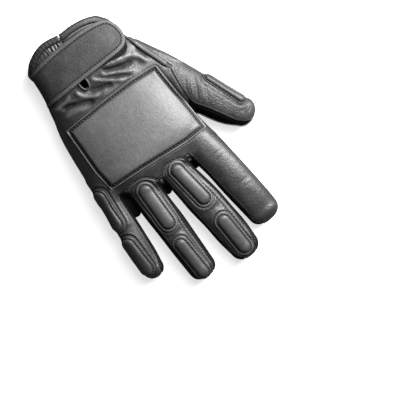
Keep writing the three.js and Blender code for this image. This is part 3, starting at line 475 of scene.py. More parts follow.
under = np.zeros(X2.shape, np.float32)
under += 0.22 * value_noise(X2 / 15 + 9.1, Y2 / 19 + 2.2, 41) + 0.12 * value_noise(X2 / 6.3, Y2 / 8.1, 42)
gather = np.sin(X2 * 2 * math.pi / 3.6 + value_noise(X2 / 5, Y2 / 12, 43)) * smoothstep(5.5, 8.0, CUFF) * (1 - smoothstep(15, 22, CUFF))
under += (0.6 * gather * smoothstep(-34, -28, X2)).astype(np.float32)
for points, rise, width in [
    ([(-40, -44), (-20, -41), (4, -42), (30, -40), (46, -43)], -0.7, 1.6),
    ([(-43, -36), (-30, -20), (-20, 2), (-14, 22)], -0.6, 2.2),
    ([(48, 6), (30, 12), (8, 20), (-20, 26)], -0.6, 2.4),
    ([(-48, 62), (-37, 61), (-27, 62)], -0.7, 1.4), ([(-50, 92), (-39, 91), (-29, 92)], -0.7, 1.4),
    ([(-17, 68), (-6, 67), (5, 68)], -0.7, 1.4), ([(-20, 98), (-8, 97), (3, 98)], -0.7, 1.4),
    ([(16, 66), (27, 65), (37, 66)], -0.7, 1.4), ([(18, 94), (28, 93), (38, 94)], -0.7, 1.4),
]:
    fold(under, points, rise, width)

# ------------------------------------------------------------------ seams of the leather
# each: plan line, which side the raised edge lies on (+1 left of travel), height of the edge, depth of the groove
SEAMS = {
    "index_side": ([(-34.5, 131.2), (-29.6, 126), (-28.7, 110), (-26.5, 87), (-24.2, 62), (-22.6, 50), (-21.4, 45.6)], -1, 0.45, 0.8),
    "middle_thumb_side": ([(-17.6, 138.6), (-20.6, 126), (-20.8, 104), (-19.8, 82), (-17.4, 66), (-15.4, 50)], 1, 0.6, 0.8),
    "middle_little_side": ([(-2.6, 141.4), (1.4, 135), (3.2, 116), (4.6, 90), (6.0, 66), (6.6, 50)], -1, 0.6, 0.8),
    "ring_thumb_side": ([(26.5, 142), (20.4, 128), (19.0, 114), (17.9, 92), (15.6, 66), (14.8, 50)], 1, 0.6, 0.8),
    "ring_little_side": ([(33, 142), (36.4, 130), (37.9, 116), (37.8, 90), (37.2, 60), (37.0, 42)], -1, 0.6, 0.8),
    "little_side": ([(60.5, 114), (53.2, 96), (49.8, 75), (47.8, 54), (46.6, 42), (45.4, 36)], 1, 0.6, 0.8),
    "middle_base": ([(-17.5, 47.6), (-12, 43.4), (-4, 41.8), (4, 43.4), (8.5, 48.2)], 1, 0.5, 0.8),
    "ring_base": ([(11.5, 48.2), (14.6, 43.6), (20, 38.4), (28, 36.4), (35, 36.6), (39.2, 38.6)], 1, 0.5, 0.8),
    "thumb_seam": ([(-50.6, 11.0), (-52.0, -4), (-54.4, -18)], -1, 0.12, 0.4),
    "thumb_web": ([(-84.4, 58.6), (-79.6, 56.8), (-74.4, 53.9), (-70.0, 49.4), (-65.6, 41.2), (-62.0, 34.2), (-56.2, 23.8), (-51.8, 16.6), (-50.6, 11.0)], -1, 0.4, 0.6),
}
D1 = D0.copy()
nz = np.gradient(D0, axis=2) / H
up_weight = smoothstep(-0.15, 0.45, nz)


def blurred(F, mm):
    k = max(1, int(round(mm / H)))
    w = np.hanning(2 * k + 3)[1:-1]
    for axis in (0, 1):
        F = sum(v * np.roll(F, j, axis) for j, v in zip(range(-k, k + 1), w / w.sum()))
    return F


# painted shade at the seams and in the bottoms of folds, and painted highlight with some wear on the edges and crests;
# both stronger over the wrist folds
relief = (blurred(top, 0.8) - blurred(top, 6.0)).astype(np.float32)
deep = 1.15 + 1.1 * smoothstep(-56, -50, Y2) * (1 - smoothstep(-34, -30, Y2))
painted_shade = 0.35 * smoothstep(45, 50, X2) * smoothstep(32, 44, Y2)                     # painted shade on the little finger, as if it lay in the lee of the others
d = signed_outline([p[:2] for p in STRAP], X2, Y2)
painted_shade += 0.6 * np.exp(-((np.maximum(d, 0) / 3.2) ** 2)) * smoothstep(-66, -60, Y2)      # painted shadow in the corner under the strap's edge
SHADE_AND_SEAM_DARK = (up_weight * np.clip(-deep * relief - 0.08 + painted_shade, 0, 0.93)[:, :, None]).astype(np.float16)
WEAR_AND_HIGHLIGHT = (up_weight * np.clip((0.9 + 0.9 * (deep - 1.15)) * relief - 0.08, 0, 0.9)[:, :, None]).astype(np.float16)
down_weight = smoothstep(-0.1, 0.5, -nz)
D1 -= up_weight * top[:, :, None] + down_weight * under[:, :, None]
del up_weight, down_weight, nz


def carve(D, line, up_side, profile, reach=3.6):
    """Presses a profile into a field along a line on the skin. The profile is a function of the signed distance from
    the line (positive on its left), the length along it and its whole length; it gives mm outwards."""
    w = window(line.min(0), line.max(0), reach)
    shape = tuple(s.stop - s.start for s in w)
    off = [s.start for s in w]
    best = np.full(shape, reach + 1, np.float32)
    side, along = np.zeros(shape, np.float32), np.zeros(shape, np.float32)
    L = length_along(line)
    for k in range(len(line) - 1):
        a, b = line[k], line[k + 1]
        lw = window(np.minimum(a, b), np.maximum(a, b), reach)
        gx, gy, gz = GX[lw[0]][:, None, None], GY[lw[1]][None, :, None], GZ[lw[2]][None, None, :]
        lw = tuple(slice(s.start - o, s.stop - o) for s, o in zip(lw, off))
        e = b - a
        n = up_side[k]
        wx, wy, wz = gx - a[0], gy - a[1], gz - a[2]
        t = np.clip((wx * e[0] + wy * e[1] + wz * e[2]) / max(e @ e, 1e-9), 0, 1)
        d = np.sqrt((wx - t * e[0]) ** 2 + (wy - t * e[1]) ** 2 + (wz - t * e[2]) ** 2)
        c = np.cross(n, e)                                            # points to the left of travel
        sgn = np.where(wx * c[0] + wy * c[1] + wz * c[2] >= 0, 1.0, -1.0)
        near = d < best[lw]
        best[lw] = np.where(near, d, best[lw])
        side[lw] = np.where(near, sgn, side[lw])
        along[lw] = np.where(near, L[k] + t * (L[k + 1] - L[k]), along[lw])
    hit = best < reach
    rise, ink, rub = profile(best * side, along, L[-1])
    D[w] -= np.where(hit, rise, 0).astype(np.float32)
    # along the line: painted shade in the groove, with the dark of the seam, and painted highlight with some wear on
    # the raised edge
    SHADE_AND_SEAM_DARK[w] = np.maximum(SHADE_AND_SEAM_DARK[w], np.where(hit, ink, 0))
    WEAR_AND_HIGHLIGHT[w] = np.maximum(WEAR_AND_HIGHLIGHT[w], np.where(hit, rub, 0))


def seam_profile(side, rise, depth, pitch=2.7):
    def f(s, u, total):
        s = s * side
        pucker = 1 + 0.28 * np.cos(2 * math.pi * u / pitch)
        ends = smoothstep(0, 3, u) * smoothstep(0, 3, total - u)
        edge, groove = ends * np.exp(-(((s - 0.85) / 0.55) ** 2)), ends * np.exp(-(((s + 0.45) / 0.68) ** 2))
        return rise * edge - depth * pucker * groove - 0.22 * ends * np.exp(-((s / 2.0) ** 2)), np.clip(1.5 * groove, 0, 1), edge
    return f


lines = {}
for name, (points, side, rise, depth) in SEAMS.items():
    line, n = lay(curve(points, 1.2))
    lines[name] = (line, n)
    carve(D1, line, n, seam_profile(side, rise, depth))
# stitched line inside the outer seam of the middle and ring fingers
INNER_ROWS = {
    "middle_row": [(-12.5, 141.2), (-17.0, 136), (-18.2, 124), (-18.3, 104), (-17.4, 84), (-14.8, 66), (-12.4, 56), (-11.6, 50)],
    "ring_row": [(26.8, 134.5), (23.3, 130), (22.1, 117), (21.2, 100), (20.4, 84), (18.0, 66), (16.6, 54), (18.5, 45.6), (24, 40.4)],
}
for name, points in INNER_ROWS.items():
    line, n = lay(curve(points, 1.2))
    lines[name] = (line, n)
    carve(D1, line, n, seam_profile(1 if name == "ring_row" else -1, 0.3, 0.5))
def ridge_profile(side, rise, depth, width=0.9):
    def f(s, u, total):
        s = s * side
        ends = smoothstep(0, 4, u) * smoothstep(0, 4, total - u)
        edge, groove = ends * np.exp(-(((s - width) / width) ** 2)), ends * np.exp(-(((s + 0.5) / 0.6) ** 2))
        return rise * edge - depth * groove, np.clip(1.2 * groove, 0, 1), edge
    return f


for points, profile in (
        ([(-65.8, -16), (-61.8, -21.5), (-58.6, -28), (-54.8, -35), (-51.4, -41), (-49.2, -46)], ridge_profile(1, 1.1, 1.0)),
        ([(-57.2, -17.6), (-55.2, -26), (-53.2, -33), (-51.0, -40), (-48.8, -47), (-47.2, -52)], ridge_profile(-1, 0.1, 0.9)),
        ([(-52.6, -18.6), (-50.6, -26), (-48.4, -33.4), (-46.2, -40.4), (-44.2, -47), (-42.6, -53), (-40.8, -59)], ridge_profile(1, 0.1, 0.9))):
    line, n = lay(curve(points, 1.0))
    carve(D1, line, n, profile)

# ------------------------------------------------------------------ meshes
COLLECTION = bpy.context.scene.collection
made = {}


def to_row(P):
    return (np.asarray(P, float) + PLAN) * MM


def shade(me, **values):
    """Per-vertex marks that the materials read."""
    for key, v in values.items():
        if v is not None:
            a = me.attributes.get(key) or me.attributes.new(key, "FLOAT", "POINT")
            a.data.foreach_set("value", np.asarray(v, np.float32))


def mesh_object(name, P, faces, material=None, smooth=True, row=False, ink=None, rub=None):
    me = bpy.data.meshes.new(name)
    P = np.asarray(P, float) if row else to_row(P)
    faces = [np.asarray(f, np.int32) for f in (faces if isinstance(faces, (list, tuple)) else [faces]) if len(f)]
    total = sum(f.size for f in faces)
    count = sum(len(f) for f in faces)
    me.vertices.add(len(P))
    me.vertices.foreach_set("co", P.astype(np.float32).ravel())
    me.loops.add(total)
    me.loops.foreach_set("vertex_index", np.concatenate([f.ravel() for f in faces]))
    me.polygons.add(count)
    sizes = np.concatenate([np.full(len(f), f.shape[1], np.int32) for f in faces])
    me.polygons.foreach_set("loop_start", np.r_[0, np.cumsum(sizes)[:-1]].astype(np.int32))
    me.polygons.foreach_set("use_smooth", np.full(count, smooth))
    me.update(calc_edges=True)
    shade(me, ink=ink, rub=rub)
    me.validate()
    o = bpy.data.objects.new(name, me)
    COLLECTION.objects.link(o)
    if material is not None:
        me.materials.append(material)
    made[name] = o
    return o


def biggest_parts(P, Q, share=0.04):
    """Keeps the connected parts that have at least this share of the faces."""
    label = np.arange(len(P))
    while True:
        m = label[Q].min(1)
        new = label.copy()
        np.minimum.at(new, Q.ravel(), np.repeat(m, Q.shape[1]))
        new = new[new]
        if (new == label).all():
            break
        label = new
    roots, counts = np.unique(label[Q[:, 0]], return_counts=True)
    keep = np.isin(label[Q[:, 0]], roots[counts >= share * len(Q)])
    Q = Q[keep]
    used = np.unique(Q)
    back = np.full(len(P), -1)
    back[used] = np.arange(len(used))
    return P[used], back[Q]


def surface_of(A, w, refine=2):
    """Quads of the zero level of a piece of the grid."""
    A = np.clip(A, -2.5, 2.5)
    A[[0, -1]] = np.maximum(A[[0, -1]], 0.4)
    A[:, [0, -1]] = np.maximum(A[:, [0, -1]], 0.4)
    A[:, :, [0, -1]] = np.maximum(A[:, :, [0, -1]], 0.4)
    g = vdb.FloatGrid(background=2.5)
    g.copyFromArray(np.ascontiguousarray(A), ijk=(0, 0, 0))
    P, Q = g.convertToQuads(isovalue=0.0)
    P, Q = biggest_parts(np.asarray(P, float), np.asarray(Q, np.int64))
    for _ in range(refine):                                          # onto the exact level, a little at a time
        i = np.clip(np.floor(P).astype(int), 1, np.array(A.shape) - 3)
        f = P - i
        x, y, z = i.T
        fx, fy, fz = f.T

        def at(dx, dy, dz):
            return A[x + dx, y + dy, z + dz]
        v = (((at(0, 0, 0) * (1 - fx) + at(1, 0, 0) * fx) * (1 - fy) + (at(0, 1, 0) * (1 - fx) + at(1, 1, 0) * fx) * fy) * (1 - fz)
             + ((at(0, 0, 1) * (1 - fx) + at(1, 0, 1) * fx) * (1 - fy) + (at(0, 1, 1) * (1 - fx) + at(1, 1, 1) * fx) * fy) * fz)
        g3 = np.stack([(at(1, 0, 0) - at(-1, 0, 0)) * (1 - fx) + (at(2, 0, 0) - at(0, 0, 0)) * fx,
                       (at(0, 1, 0) - at(0, -1, 0)) * (1 - fy) + (at(0, 2, 0) - at(0, 0, 0)) * fy,
                       (at(0, 0, 1) - at(0, 0, -1)) * (1 - fz) + (at(0, 0, 2) - at(0, 0, 0)) * fz], 1) / (2 * H)
        norm2 = np.maximum((g3**2).sum(1), 0.15)
        P = P - np.clip(0.6 * v / norm2 / H, -0.4, 0.4)[:, None] * g3
    start = np.array([s.start for s in w])
    return (P + start) * H + LO, Q[:, ::-1]


def thinned(o, target, inner=None):
    """Collapses a mesh to about target triangles; the inner side of the leather gives up two thirds of its own first."""
    share = float(inner.mean()) if inner is not None and inner.any() else 0.0
    for first in ((True, False) if share else (False,)):
        count = sum(len(f.vertices) - 2 for f in o.data.polygons)
        ratio = 1 - 0.66 * share if first else target / count
        if ratio >= 1:
            continue
        m = o.modifiers.new("thin", "DECIMATE")
        m.ratio = ratio
        if first:
            g = o.vertex_groups.new(name="inner")
            g.add([int(i) for i in np.nonzero(inner)[0]], 1.0, "REPLACE")
            m.vertex_group, m.vertex_group_factor = "inner", 1.0
        dg = bpy.context.evaluated_depsgraph_get()
        me = bpy.data.meshes.new_from_object(o.evaluated_get(dg), preserve_all_data_layers=False, depsgraph=dg)
        old = o.data
        o.modifiers.clear()
        o.vertex_groups.clear()
        o.data = me
        me.name = o.name
        bpy.data.meshes.remove(old)
    return o


# ------------------------------------------------------------------ materials
class Nodes:
    def __init__(self, name):
        self.m = bpy.data.materials.new(name)
        self.m.use_nodes = True
        self.t = self.m.node_tree
        self.t.nodes.clear()
        self.out = self.t.nodes.new("ShaderNodeOutputMaterial")
        self.b = self.t.nodes.new("ShaderNodeBsdfPrincipled")
        self.t.links.new(self.b.outputs[0], self.out.inputs[0])
        c = self.t.nodes.new("ShaderNodeTexCoord")
        s = self.t.nodes.new("ShaderNodeVectorMath")
        s.operation = "SCALE"
        s.inputs[3].default_value = 1000.0
        self.t.links.new(c.outputs["Object"], s.inputs[0])
        self.mm = s.outputs[0]

    def stretched(self, x, y, z, angle=0.0):
        n = self.t.nodes.new("ShaderNodeMapping")
        n.inputs["Rotation"].default_value = (0, 0, angle)
        n.inputs["Scale"].default_value = (x, y, z)
        self.t.links.new(self.mm, n.inputs[0])
        return n.outputs[0]

    def noise(self, size, detail=3.0, rough=0.55, where=None, distortion=0.0):
        n = self.t.nodes.new("ShaderNodeTexNoise")
        n.inputs["Scale"].default_value = 1.0 / size
        n.inputs["Detail"].default_value = detail
        n.inputs["Roughness"].default_value = rough
        n.inputs["Distortion"].default_value = distortion
        self.t.links.new(where or self.mm, n.inputs["Vector"])
        return n.outputs["Fac"]

    def cells(self, size, where=None, feature="F1"):
        n = self.t.nodes.new("ShaderNodeTexVoronoi")
        n.feature = feature
        n.inputs["Scale"].default_value = 1.0 / size
        self.t.links.new(where or self.mm, n.inputs["Vector"])
        return n.outputs["Distance"]

    def ramp(self, value, stops):
        n = self.t.nodes.new("ShaderNodeValToRGB")
        e = n.color_ramp.elements
        while len(e) < len(stops):
            e.new(0.5)
        for k, (pos, v) in enumerate(stops):
            e[k].position = pos
            e[k].color = (*(v if hasattr(v, "__len__") else (v, v, v)), 1)
        self.t.links.new(value, n.inputs[0])
        return n.outputs[0]

    def maths(self, op, a, b):
        n = self.t.nodes.new("ShaderNodeMath")
        n.operation = op
        for k, v in enumerate((a, b)):
            if isinstance(v, (int, float)):
                n.inputs[k].default_value = v
            else:
                self.t.links.new(v, n.inputs[k])
        return n.outputs[0]

    def mix(self, factor, a, b, blend="MIX"):
        n = self.t.nodes.new("ShaderNodeMix")
        n.data_type = "RGBA"
        n.blend_type = blend
        for k, v in ((0, factor), (6, a), (7, b)):
            if isinstance(v, (int, float)):
                n.inputs[k].default_value = v if k == 0 else (v, v, v, 1)
            elif isinstance(v, tuple):
                n.inputs[k].default_value = (*v, 1)
            else:
                self.t.links.new(v, n.inputs[k])
        return n.outputs[2]

    def bump(self, value, mm, normal=None, strength=1.0):
        n = self.t.nodes.new("ShaderNodeBump")
        n.inputs["Distance"].default_value = mm * MM
        n.inputs["Strength"].default_value = strength
        self.t.links.new(value, n.inputs["Height"])
        if normal is not None:
            self.t.links.new(normal, n.inputs["Normal"])
        return n.outputs[0]

    def worn(self, low=0.5, high=0.62):
        """Ridges and edges, where the leather is rubbed lighter."""
        n = self.t.nodes.new("ShaderNodeNewGeometry")
        return self.ramp(n.outputs["Pointiness"], [(low, 0.0), (high, 1.0)])

    def mark(self, name):
        n = self.t.nodes.new("ShaderNodeAttribute")
        n.attribute_name = name
        return n.outputs["Fac"]

    def done(self, colour, rough, normal, specular=0.5, sheen=0.0, sheen_rough=0.5, coat=0.0, coat_rough=0.3):
        for socket, v in (("Base Color", colour), ("Roughness", rough), ("Normal", normal)):
            if v is None:
                continue
            if isinstance(v, tuple):
                self.b.inputs[socket].default_value = (*v, 1)
            elif isinstance(v, (int, float)):
                self.b.inputs[socket].default_value = v
            else:
                self.t.links.new(v, self.b.inputs[socket])
        self.b.inputs["Specular IOR Level"].default_value = specular
        self.b.inputs["Sheen Weight"].default_value = sheen
        self.b.inputs["Sheen Roughness"].default_value = sheen_rough
        self.b.inputs["Coat Weight"].default_value = coat
        self.b.inputs["Coat Roughness"].default_value = coat_rough
        return self.m


def leather(name, dark, light, rough, pebble, depth, wrinkle=0.10, wear=0.02, specular=0.5, speckle=0.22, rubbed=0.14, edge=0.7):
    n = Nodes(name)
    tone = n.ramp(n.noise(16.0, 4.0, 0.6), [(0.3, dark), (0.72, light)])
    tone = n.mix(1.0, tone, n.ramp(n.noise(1.9, 3.0, 0.72), [(0.28, 1 - speckle), (0.72, 1 + speckle)]), "MULTIPLY")
    tone = n.mix(n.worn(), tone, tuple(min(1.0, v + wear) for v in (light,) * 3))
    # the marked crests and edges get a lighter tone: painted highlight, with some wear
    tone = n.mix(n.maths("MULTIPLY", n.mark("rub"), edge), tone, rubbed)
    # the marked grooves and fold bottoms go near black: painted shade, with the dark of the seams
    tone = n.mix(n.mark("ink"), tone, 0.003)
    b = n.bump(n.cells(pebble, None, "SMOOTH_F1"), depth)
    b = n.bump(n.cells(pebble * 0.5, None, "F1"), depth * 0.4, b)
    b = n.bump(n.noise(3.4, 5.0, 0.62, None, 0.6), wrinkle * 2.2, b)
    r = n.ramp(n.noise(4.0, 4.0, 0.65), [(0.25, rough - 0.06), (0.75, rough + 0.08)])
    r = n.maths("ADD", r, n.maths("MULTIPLY", n.mark("ink"), 0.4))
    return n.done(tone, r, b, specular)


LEATHER = leather("black_leather", 0.026, 0.044, 0.40, 1.5, 0.15, 0.09, specular=0.6)
LEATHER_THUMB = leather("thumb_leather", 0.034, 0.060, 0.42, 1.25, 0.34, 0.05, wear=0.03, speckle=0.42)
# the plate's leather has a lighter tone than the rest: painted sheen standing for the broad reflection on its crown
LEATHER_PLATE_LIT = leather("plate_leather_lit", 0.085, 0.115, 0.42, 1.1, 0.10, 0.07, wear=0.03, speckle=0.22)
LEATHER_PAD = leather("pad_leather", 0.048, 0.066, 0.40, 1.0, 0.05, 0.04, wear=0.04, speckle=0.12)
# a darker copy of the pad leather for the little-finger and thumb pads: painted shade
LEATHER_PAD_SHADED = leather("outer_pad_leather_shaded", 0.026, 0.040, 0.47, 1.1, 0.07, 0.05, wear=0.04, speckle=0.16)
LEATHER_EDGE = leather("edge_leather", 0.034, 0.058, 0.42, 1.2, 0.08, 0.05, wear=0.04, rubbed=0.20, edge=0.75)
PIPING = leather("piping", 0.10, 0.16, 0.45, 1.0, 0.06, 0.05, wear=0.04, rubbed=0.34, edge=0.8)
# a near-black copy of the leather for the side strips between the fingers: painted shade where they lie between the
# fingers
LEATHER_SIDE_SHADED = leather("side_leather_shaded", 0.005, 0.010, 0.62, 1.5, 0.16, 0.16, wear=0.006, specular=0.22, rubbed=0.08)
LEATHER_HEM = leather("hem_leather", 0.013, 0.026, 0.46, 1.4, 0.10, 0.10, wear=0.02)


def strap_material():
    n = Nodes("strap_leather")
    fine = n.ramp(n.noise(1.7, 4.0, 0.75), [(0.28, 0.015), (0.5, 0.033), (0.74, 0.070)])
    tone = n.mix(0.5, fine, n.ramp(n.noise(9.0, 4.0, 0.65), [(0.3, 0.022), (0.7, 0.048)]))
    # lighter tone on the marked rim crest: painted highlight, with some wear; the marked stitch groove goes near black,
    # painted shade with the dark of the seam
    rim = n.mix(0.5, n.ramp(n.noise(9.0, 4.0, 0.6), [(0.3, 0.048), (0.7, 0.088)]), n.ramp(n.noise(1.7, 4.0, 0.75), [(0.28, 0.045), (0.74, 0.12)]))
    tone = n.mix(n.mark("rub"), tone, rim)
    tone = n.mix(n.mark("ink"), tone, 0.003)
    plain = n.maths("SUBTRACT", 1.0, n.maths("MULTIPLY", n.mark("rub"), 0.35))
    b = n.bump(n.maths("MULTIPLY", n.cells(1.3, None, "SMOOTH_F1"), plain), 0.22)
    b = n.bump(n.maths("MULTIPLY", n.noise(0.8, 3.0, 0.6), plain), 0.10, b)
    b = n.bump(n.noise(7.0, 3.0, 0.5), 0.4, b)
    r = n.maths("ADD", n.ramp(n.noise(5.0, 3.0, 0.6), [(0.3, 0.58), (0.7, 0.70)]), n.maths("MULTIPLY", n.mark("ink"), 0.25))
    return n.done(tone, r, b, 0.38)


def suede_material():
    n = Nodes("black_suede")
    tone = n.ramp(n.noise(2.2, 5.0, 0.7, None, 0.8), [(0.3, 0.0022), (0.7, 0.0075)])
    # the marked crests are lightened: painted highlight, with some wear
    tone = n.mix(n.maths("MULTIPLY", n.mark("rub"), 0.6), tone, 0.05)
    b = n.bump(n.noise(0.5, 3.0, 0.8), 0.16)
    b = n.bump(n.noise(3.0, 4.0, 0.6), 0.25, b)
    return n.done(tone, 0.95, b, 0.05)


def fabric_material(name, low, high, size=0.6):
    n = Nodes(name)
    w = n.t.nodes.new("ShaderNodeTexWave")
    w.inputs["Scale"].default_value = 1.0 / size
    w.inputs["Distortion"].default_value = 1.2
    n.t.links.new(n.mm, w.inputs["Vector"])
    tone = n.ramp(n.mix(0.5, w.outputs["Fac"], n.noise(0.5, 3.0, 0.7)), [(0.3, low), (0.7, high)])
    return n.done(tone, 0.95, n.bump(w.outputs["Fac"], 0.12), 0.15)


def thread_material():
    n = Nodes("thread")
    tone = n.ramp(n.noise(0.6, 2.0, 0.6), [(0.3, 0.040), (0.7, 0.085)])
    return n.done(tone, 0.45, n.bump(n.noise(0.2, 2.0, 0.6), 0.05), 0.4)


STRAP_LEATHER, SUEDE, THREAD = strap_material(), suede_material(), thread_material()
LINING = fabric_material("lining", 0.008, 0.02)
LOOP = fabric_material("loop_tape", 0.006, 0.02, 0.9)


# ------------------------------------------------------------------ leather panels
def plan_sd(poly):
    return signed_outline(poly, X2, Y2)


def ring_band(points, grow):
    P = np.array([p[:2] for p in points], float)
    h = np.array([p[2] for p in points], float) + grow
    P[-2:, 1] += [grow * 0.6, grow]
    t = unit(np.gradient(P, axis=0))
    s = np.stack([-t[:, 1], t[:, 0]], 1) * h[:, None]
    return np.vstack([P + s, (P - s)[::-1]])


Z_SEAM = np.interp(GY, [p[0] for p in SIDE_SEAM], [p[1] for p in SIDE_SEAM]).astype(np.float32)
IN_STRIP = {k: plan_sd(p) for k, p in STRIPS.items()}
IN_MIDDLE, IN_RING = plan_sd(MIDDLE_BACK), plan_sd(RING_BACK)
IN_THUMB = plan_sd([*THUMB_BACK_SEAM, (-120, -120), (-120, 66)])
IN_WEB = plan_sd([*THUMB_BACK_SEAM[:10], (-47.8, 13.6), (-47.6, 21), (-48.8, 27.5), (-51.4, 34), (-55.0, 42), (-60, 50), (-66, 62), (-70, 72), (-92, 72)])
IN_FRONT = plan_sd([(-68, 72), (-60, 50), (-53.2, 36.5), (-48.6, 27.5), *THUMB_FRONT_SEAM[1:], (-120, -31), (-120, 72)])
IN_VENT = plan_sd(ring_band(VENT, 0.0))
G = 0.06                                   # half of the slit between two panels


class Cut:
    """One piece of the leather field: a window of the grid with its terms."""
    def __init__(self, low, high):
        self.w = window(low, high)
        self.A = None

    def plan(self, F):
        return F[self.w[0], self.w[1]][:, :, None]

    def above(self):
        return Z_SEAM[self.w[1]][None, :, None] - GZ[self.w[2]][None, None, :]

    def slanted(self, F):
        """The cut leans under the neighbouring piece, as a seam allowance does."""
        return self.plan(F) - 0.5 * np.clip(-D0[self.w] - 0.2, 0, 3)

    def begin(self, outer=None, inner=3.0):
        self.A = np.maximum((D1 if outer is None else outer)[self.w], -(D0[self.w] + inner))
        return self

    def keep(self, F, k=0.8, grow=G):
        self.A = smax(self.A, F + grow, k)
        return self

    def drop(self, F, k=0.8, grow=G):
        self.A = smax(self.A, grow - F, k)
        return self

    def mesh(self, name, kind, target, material, slot, lining=True):
        P, Q = surface_of(self.A, self.w)
        o = mesh_object(name + "_" + kind, P, Q, material)
        inner = sample(D0, P) < -2.0
        thinned(o, target, inner if lining else None)
        if lining:
            o.data.materials.append(LINING)
            c = np.empty(len(o.data.polygons) * 3, np.float32)
            o.data.polygons.foreach_get("center", c)
            c = c.reshape(-1, 3) / MM - PLAN
            o.data.polygons.foreach_set("material_index", (sample(D0, c) < -2.3).astype(np.int32))
        co = np.empty(len(o.data.vertices) * 3, np.float32)
        o.data.vertices.foreach_get("co", co)
        co = co.reshape(-1, 3) / MM - PLAN
        shade(o.data, ink=sample(SHADE_AND_SEAM_DARK, co), rub=sample(WEAR_AND_HIGHLIGHT, co))
        o.data.polygons.foreach_set("use_smooth", np.ones(len(o.data.polygons), bool))
        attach(o, "root")
        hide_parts(name)
        return o


inside_cuff = 6.1 - CUFF                   # negative where the leather runs, beyond the hem
# seam along the sides of the hand, where back and palm meet
side_s = GZ[None, None, :] - Z_SEAM[None, :, None]
for w in (window((-96, -106, 4), (-30, 150, 28)), window((30, -106, 4), (78, 150, 28))):
    g = np.abs(np.gradient(D0[w], axis=2) / H)
    s = np.broadcast_to(side_s[:, w[1], w[2]], D0[w].shape)
    clear = np.minimum.reduce([IN_STRIP[k][w[0], w[1]] for k in IN_STRIP])[:, :, None]
    weight = (1 - smoothstep(0.65, 0.9, g)) * smoothstep(0.5, 2.5, clear)
    D1[w] -= (weight * (0.5 * np.exp(-(((s - 0.7) / 0.5) ** 2)) - 0.7 * np.exp(-(((s + 0.4) / 0.5) ** 2)))).astype(np.float32)
del side_s

strips = list(IN_STRIP)
c = Cut((-62, -106, 8), (78, 150, 45)).begin()
c.keep(c.above()).keep(c.plan(inside_cuff), 0.4).drop(c.plan(IN_VENT), 0.6).drop(c.plan(IN_THUMB)).drop(c.plan(IN_WEB))
for k in strips:
    c.drop(c.slanted(IN_STRIP[k]), 0.5)
c.drop(c.plan(IN_MIDDLE)).drop(c.plan(IN_RING))
c.mesh("back_panel", "leather", 150000, LEATHER, "black_leather")

for name, region, low, high in (("middle_finger_back", IN_MIDDLE, (-26, 38, 8), (12, 150, 36)), ("ring_finger_back", IN_RING, (8, 32, 8), (44, 145, 36))):
    c = Cut(low, high).begin()
    c.keep(c.above()).keep(c.plan(region))
    for k in strips:
        c.drop(c.slanted(IN_STRIP[k]), 0.5)
    c.mesh(name, "leather", 36000, LEATHER, "black_leather")

c = Cut((-96, -106, 8), (-26, 70, 36)).begin()
c.keep(c.above()).keep(c.plan(inside_cuff), 0.4).keep(c.plan(IN_THUMB))
c.mesh("thumb_back", "leather", 55000, LEATHER_THUMB, "black_leather")

for k in strips:
    P = np.array(STRIPS[k])
    c = Cut((*P.min(0) - 2, -2), (*P.max(0) + 2, 36)).begin()
    c.keep(c.slanted(IN_STRIP[k]), 0.5)
    # the side strips take the near-black leather, a painted shade
    c.mesh("side_strip_" + k, "leather", 34000, LEATHER_SIDE_SHADED, "black_leather")

c = Cut((-96, -36, -2), (-40, 72, 36)).begin()
below = -c.above()
c.A = smax(c.A, smin(smax(below, c.plan(IN_FRONT), 0.6), smax(c.plan(IN_WEB), c.plan(IN_FRONT), 0.6), 0.3) + G, 0.6)
c.mesh("thumb_front", "suede", 45000, SUEDE, "black_suede")

# cuff: rolled hem, drawn up by elastic on the little-finger side, open at the vent
c = Cut((-62, -108, -2), (62, -78, 45))
cuff = c.plan(CUFF)
wave = (0.08 * np.sin(GX * 2 * math.pi / 3.3 + 0.8)).astype(np.float32)[c.w[0]][:, None, None]
roll = np.abs(D0[c.w] + 0.7 - wave * smoothstep(-2, 6, GX[c.w[0]])[:, None, None]) - 2.0
c.A = smax(smax(roll, 0.2 - cuff, 2.2), cuff - 5.9, 1.6)
vent = np.maximum(c.plan(plan_sd(ring_band(VENT, -0.55))), 20.0 - GZ[c.w[2]][None, None, :])
c.A = smax(c.A, 0.3 - vent, 1.2)
c.mesh("cuff_hem", "leather", 56000, LEATHER_HEM, "black_leather", lining=False)

# hook-and-loop patch under the strap
c = Cut((-46, -92, 16), (0, -46, 45))
ruffle = 0.18 * value_noise(X2 / 1.6, Y2 / 1.6, 61)
c.A = smax(smax(np.abs(D0[c.w] - 0.7) - 0.62 - c.plan(ruffle), c.plan(plan_sd(PATCH)), 0.6), 18.0 - GZ[c.w[2]][None, None, :], 0.4)
c.A = np.maximum(c.A, 6.5 - c.plan(CUFF))
c.mesh("strap_patch", "tape", 16000, LOOP, "hook_and_loop", lining=False)

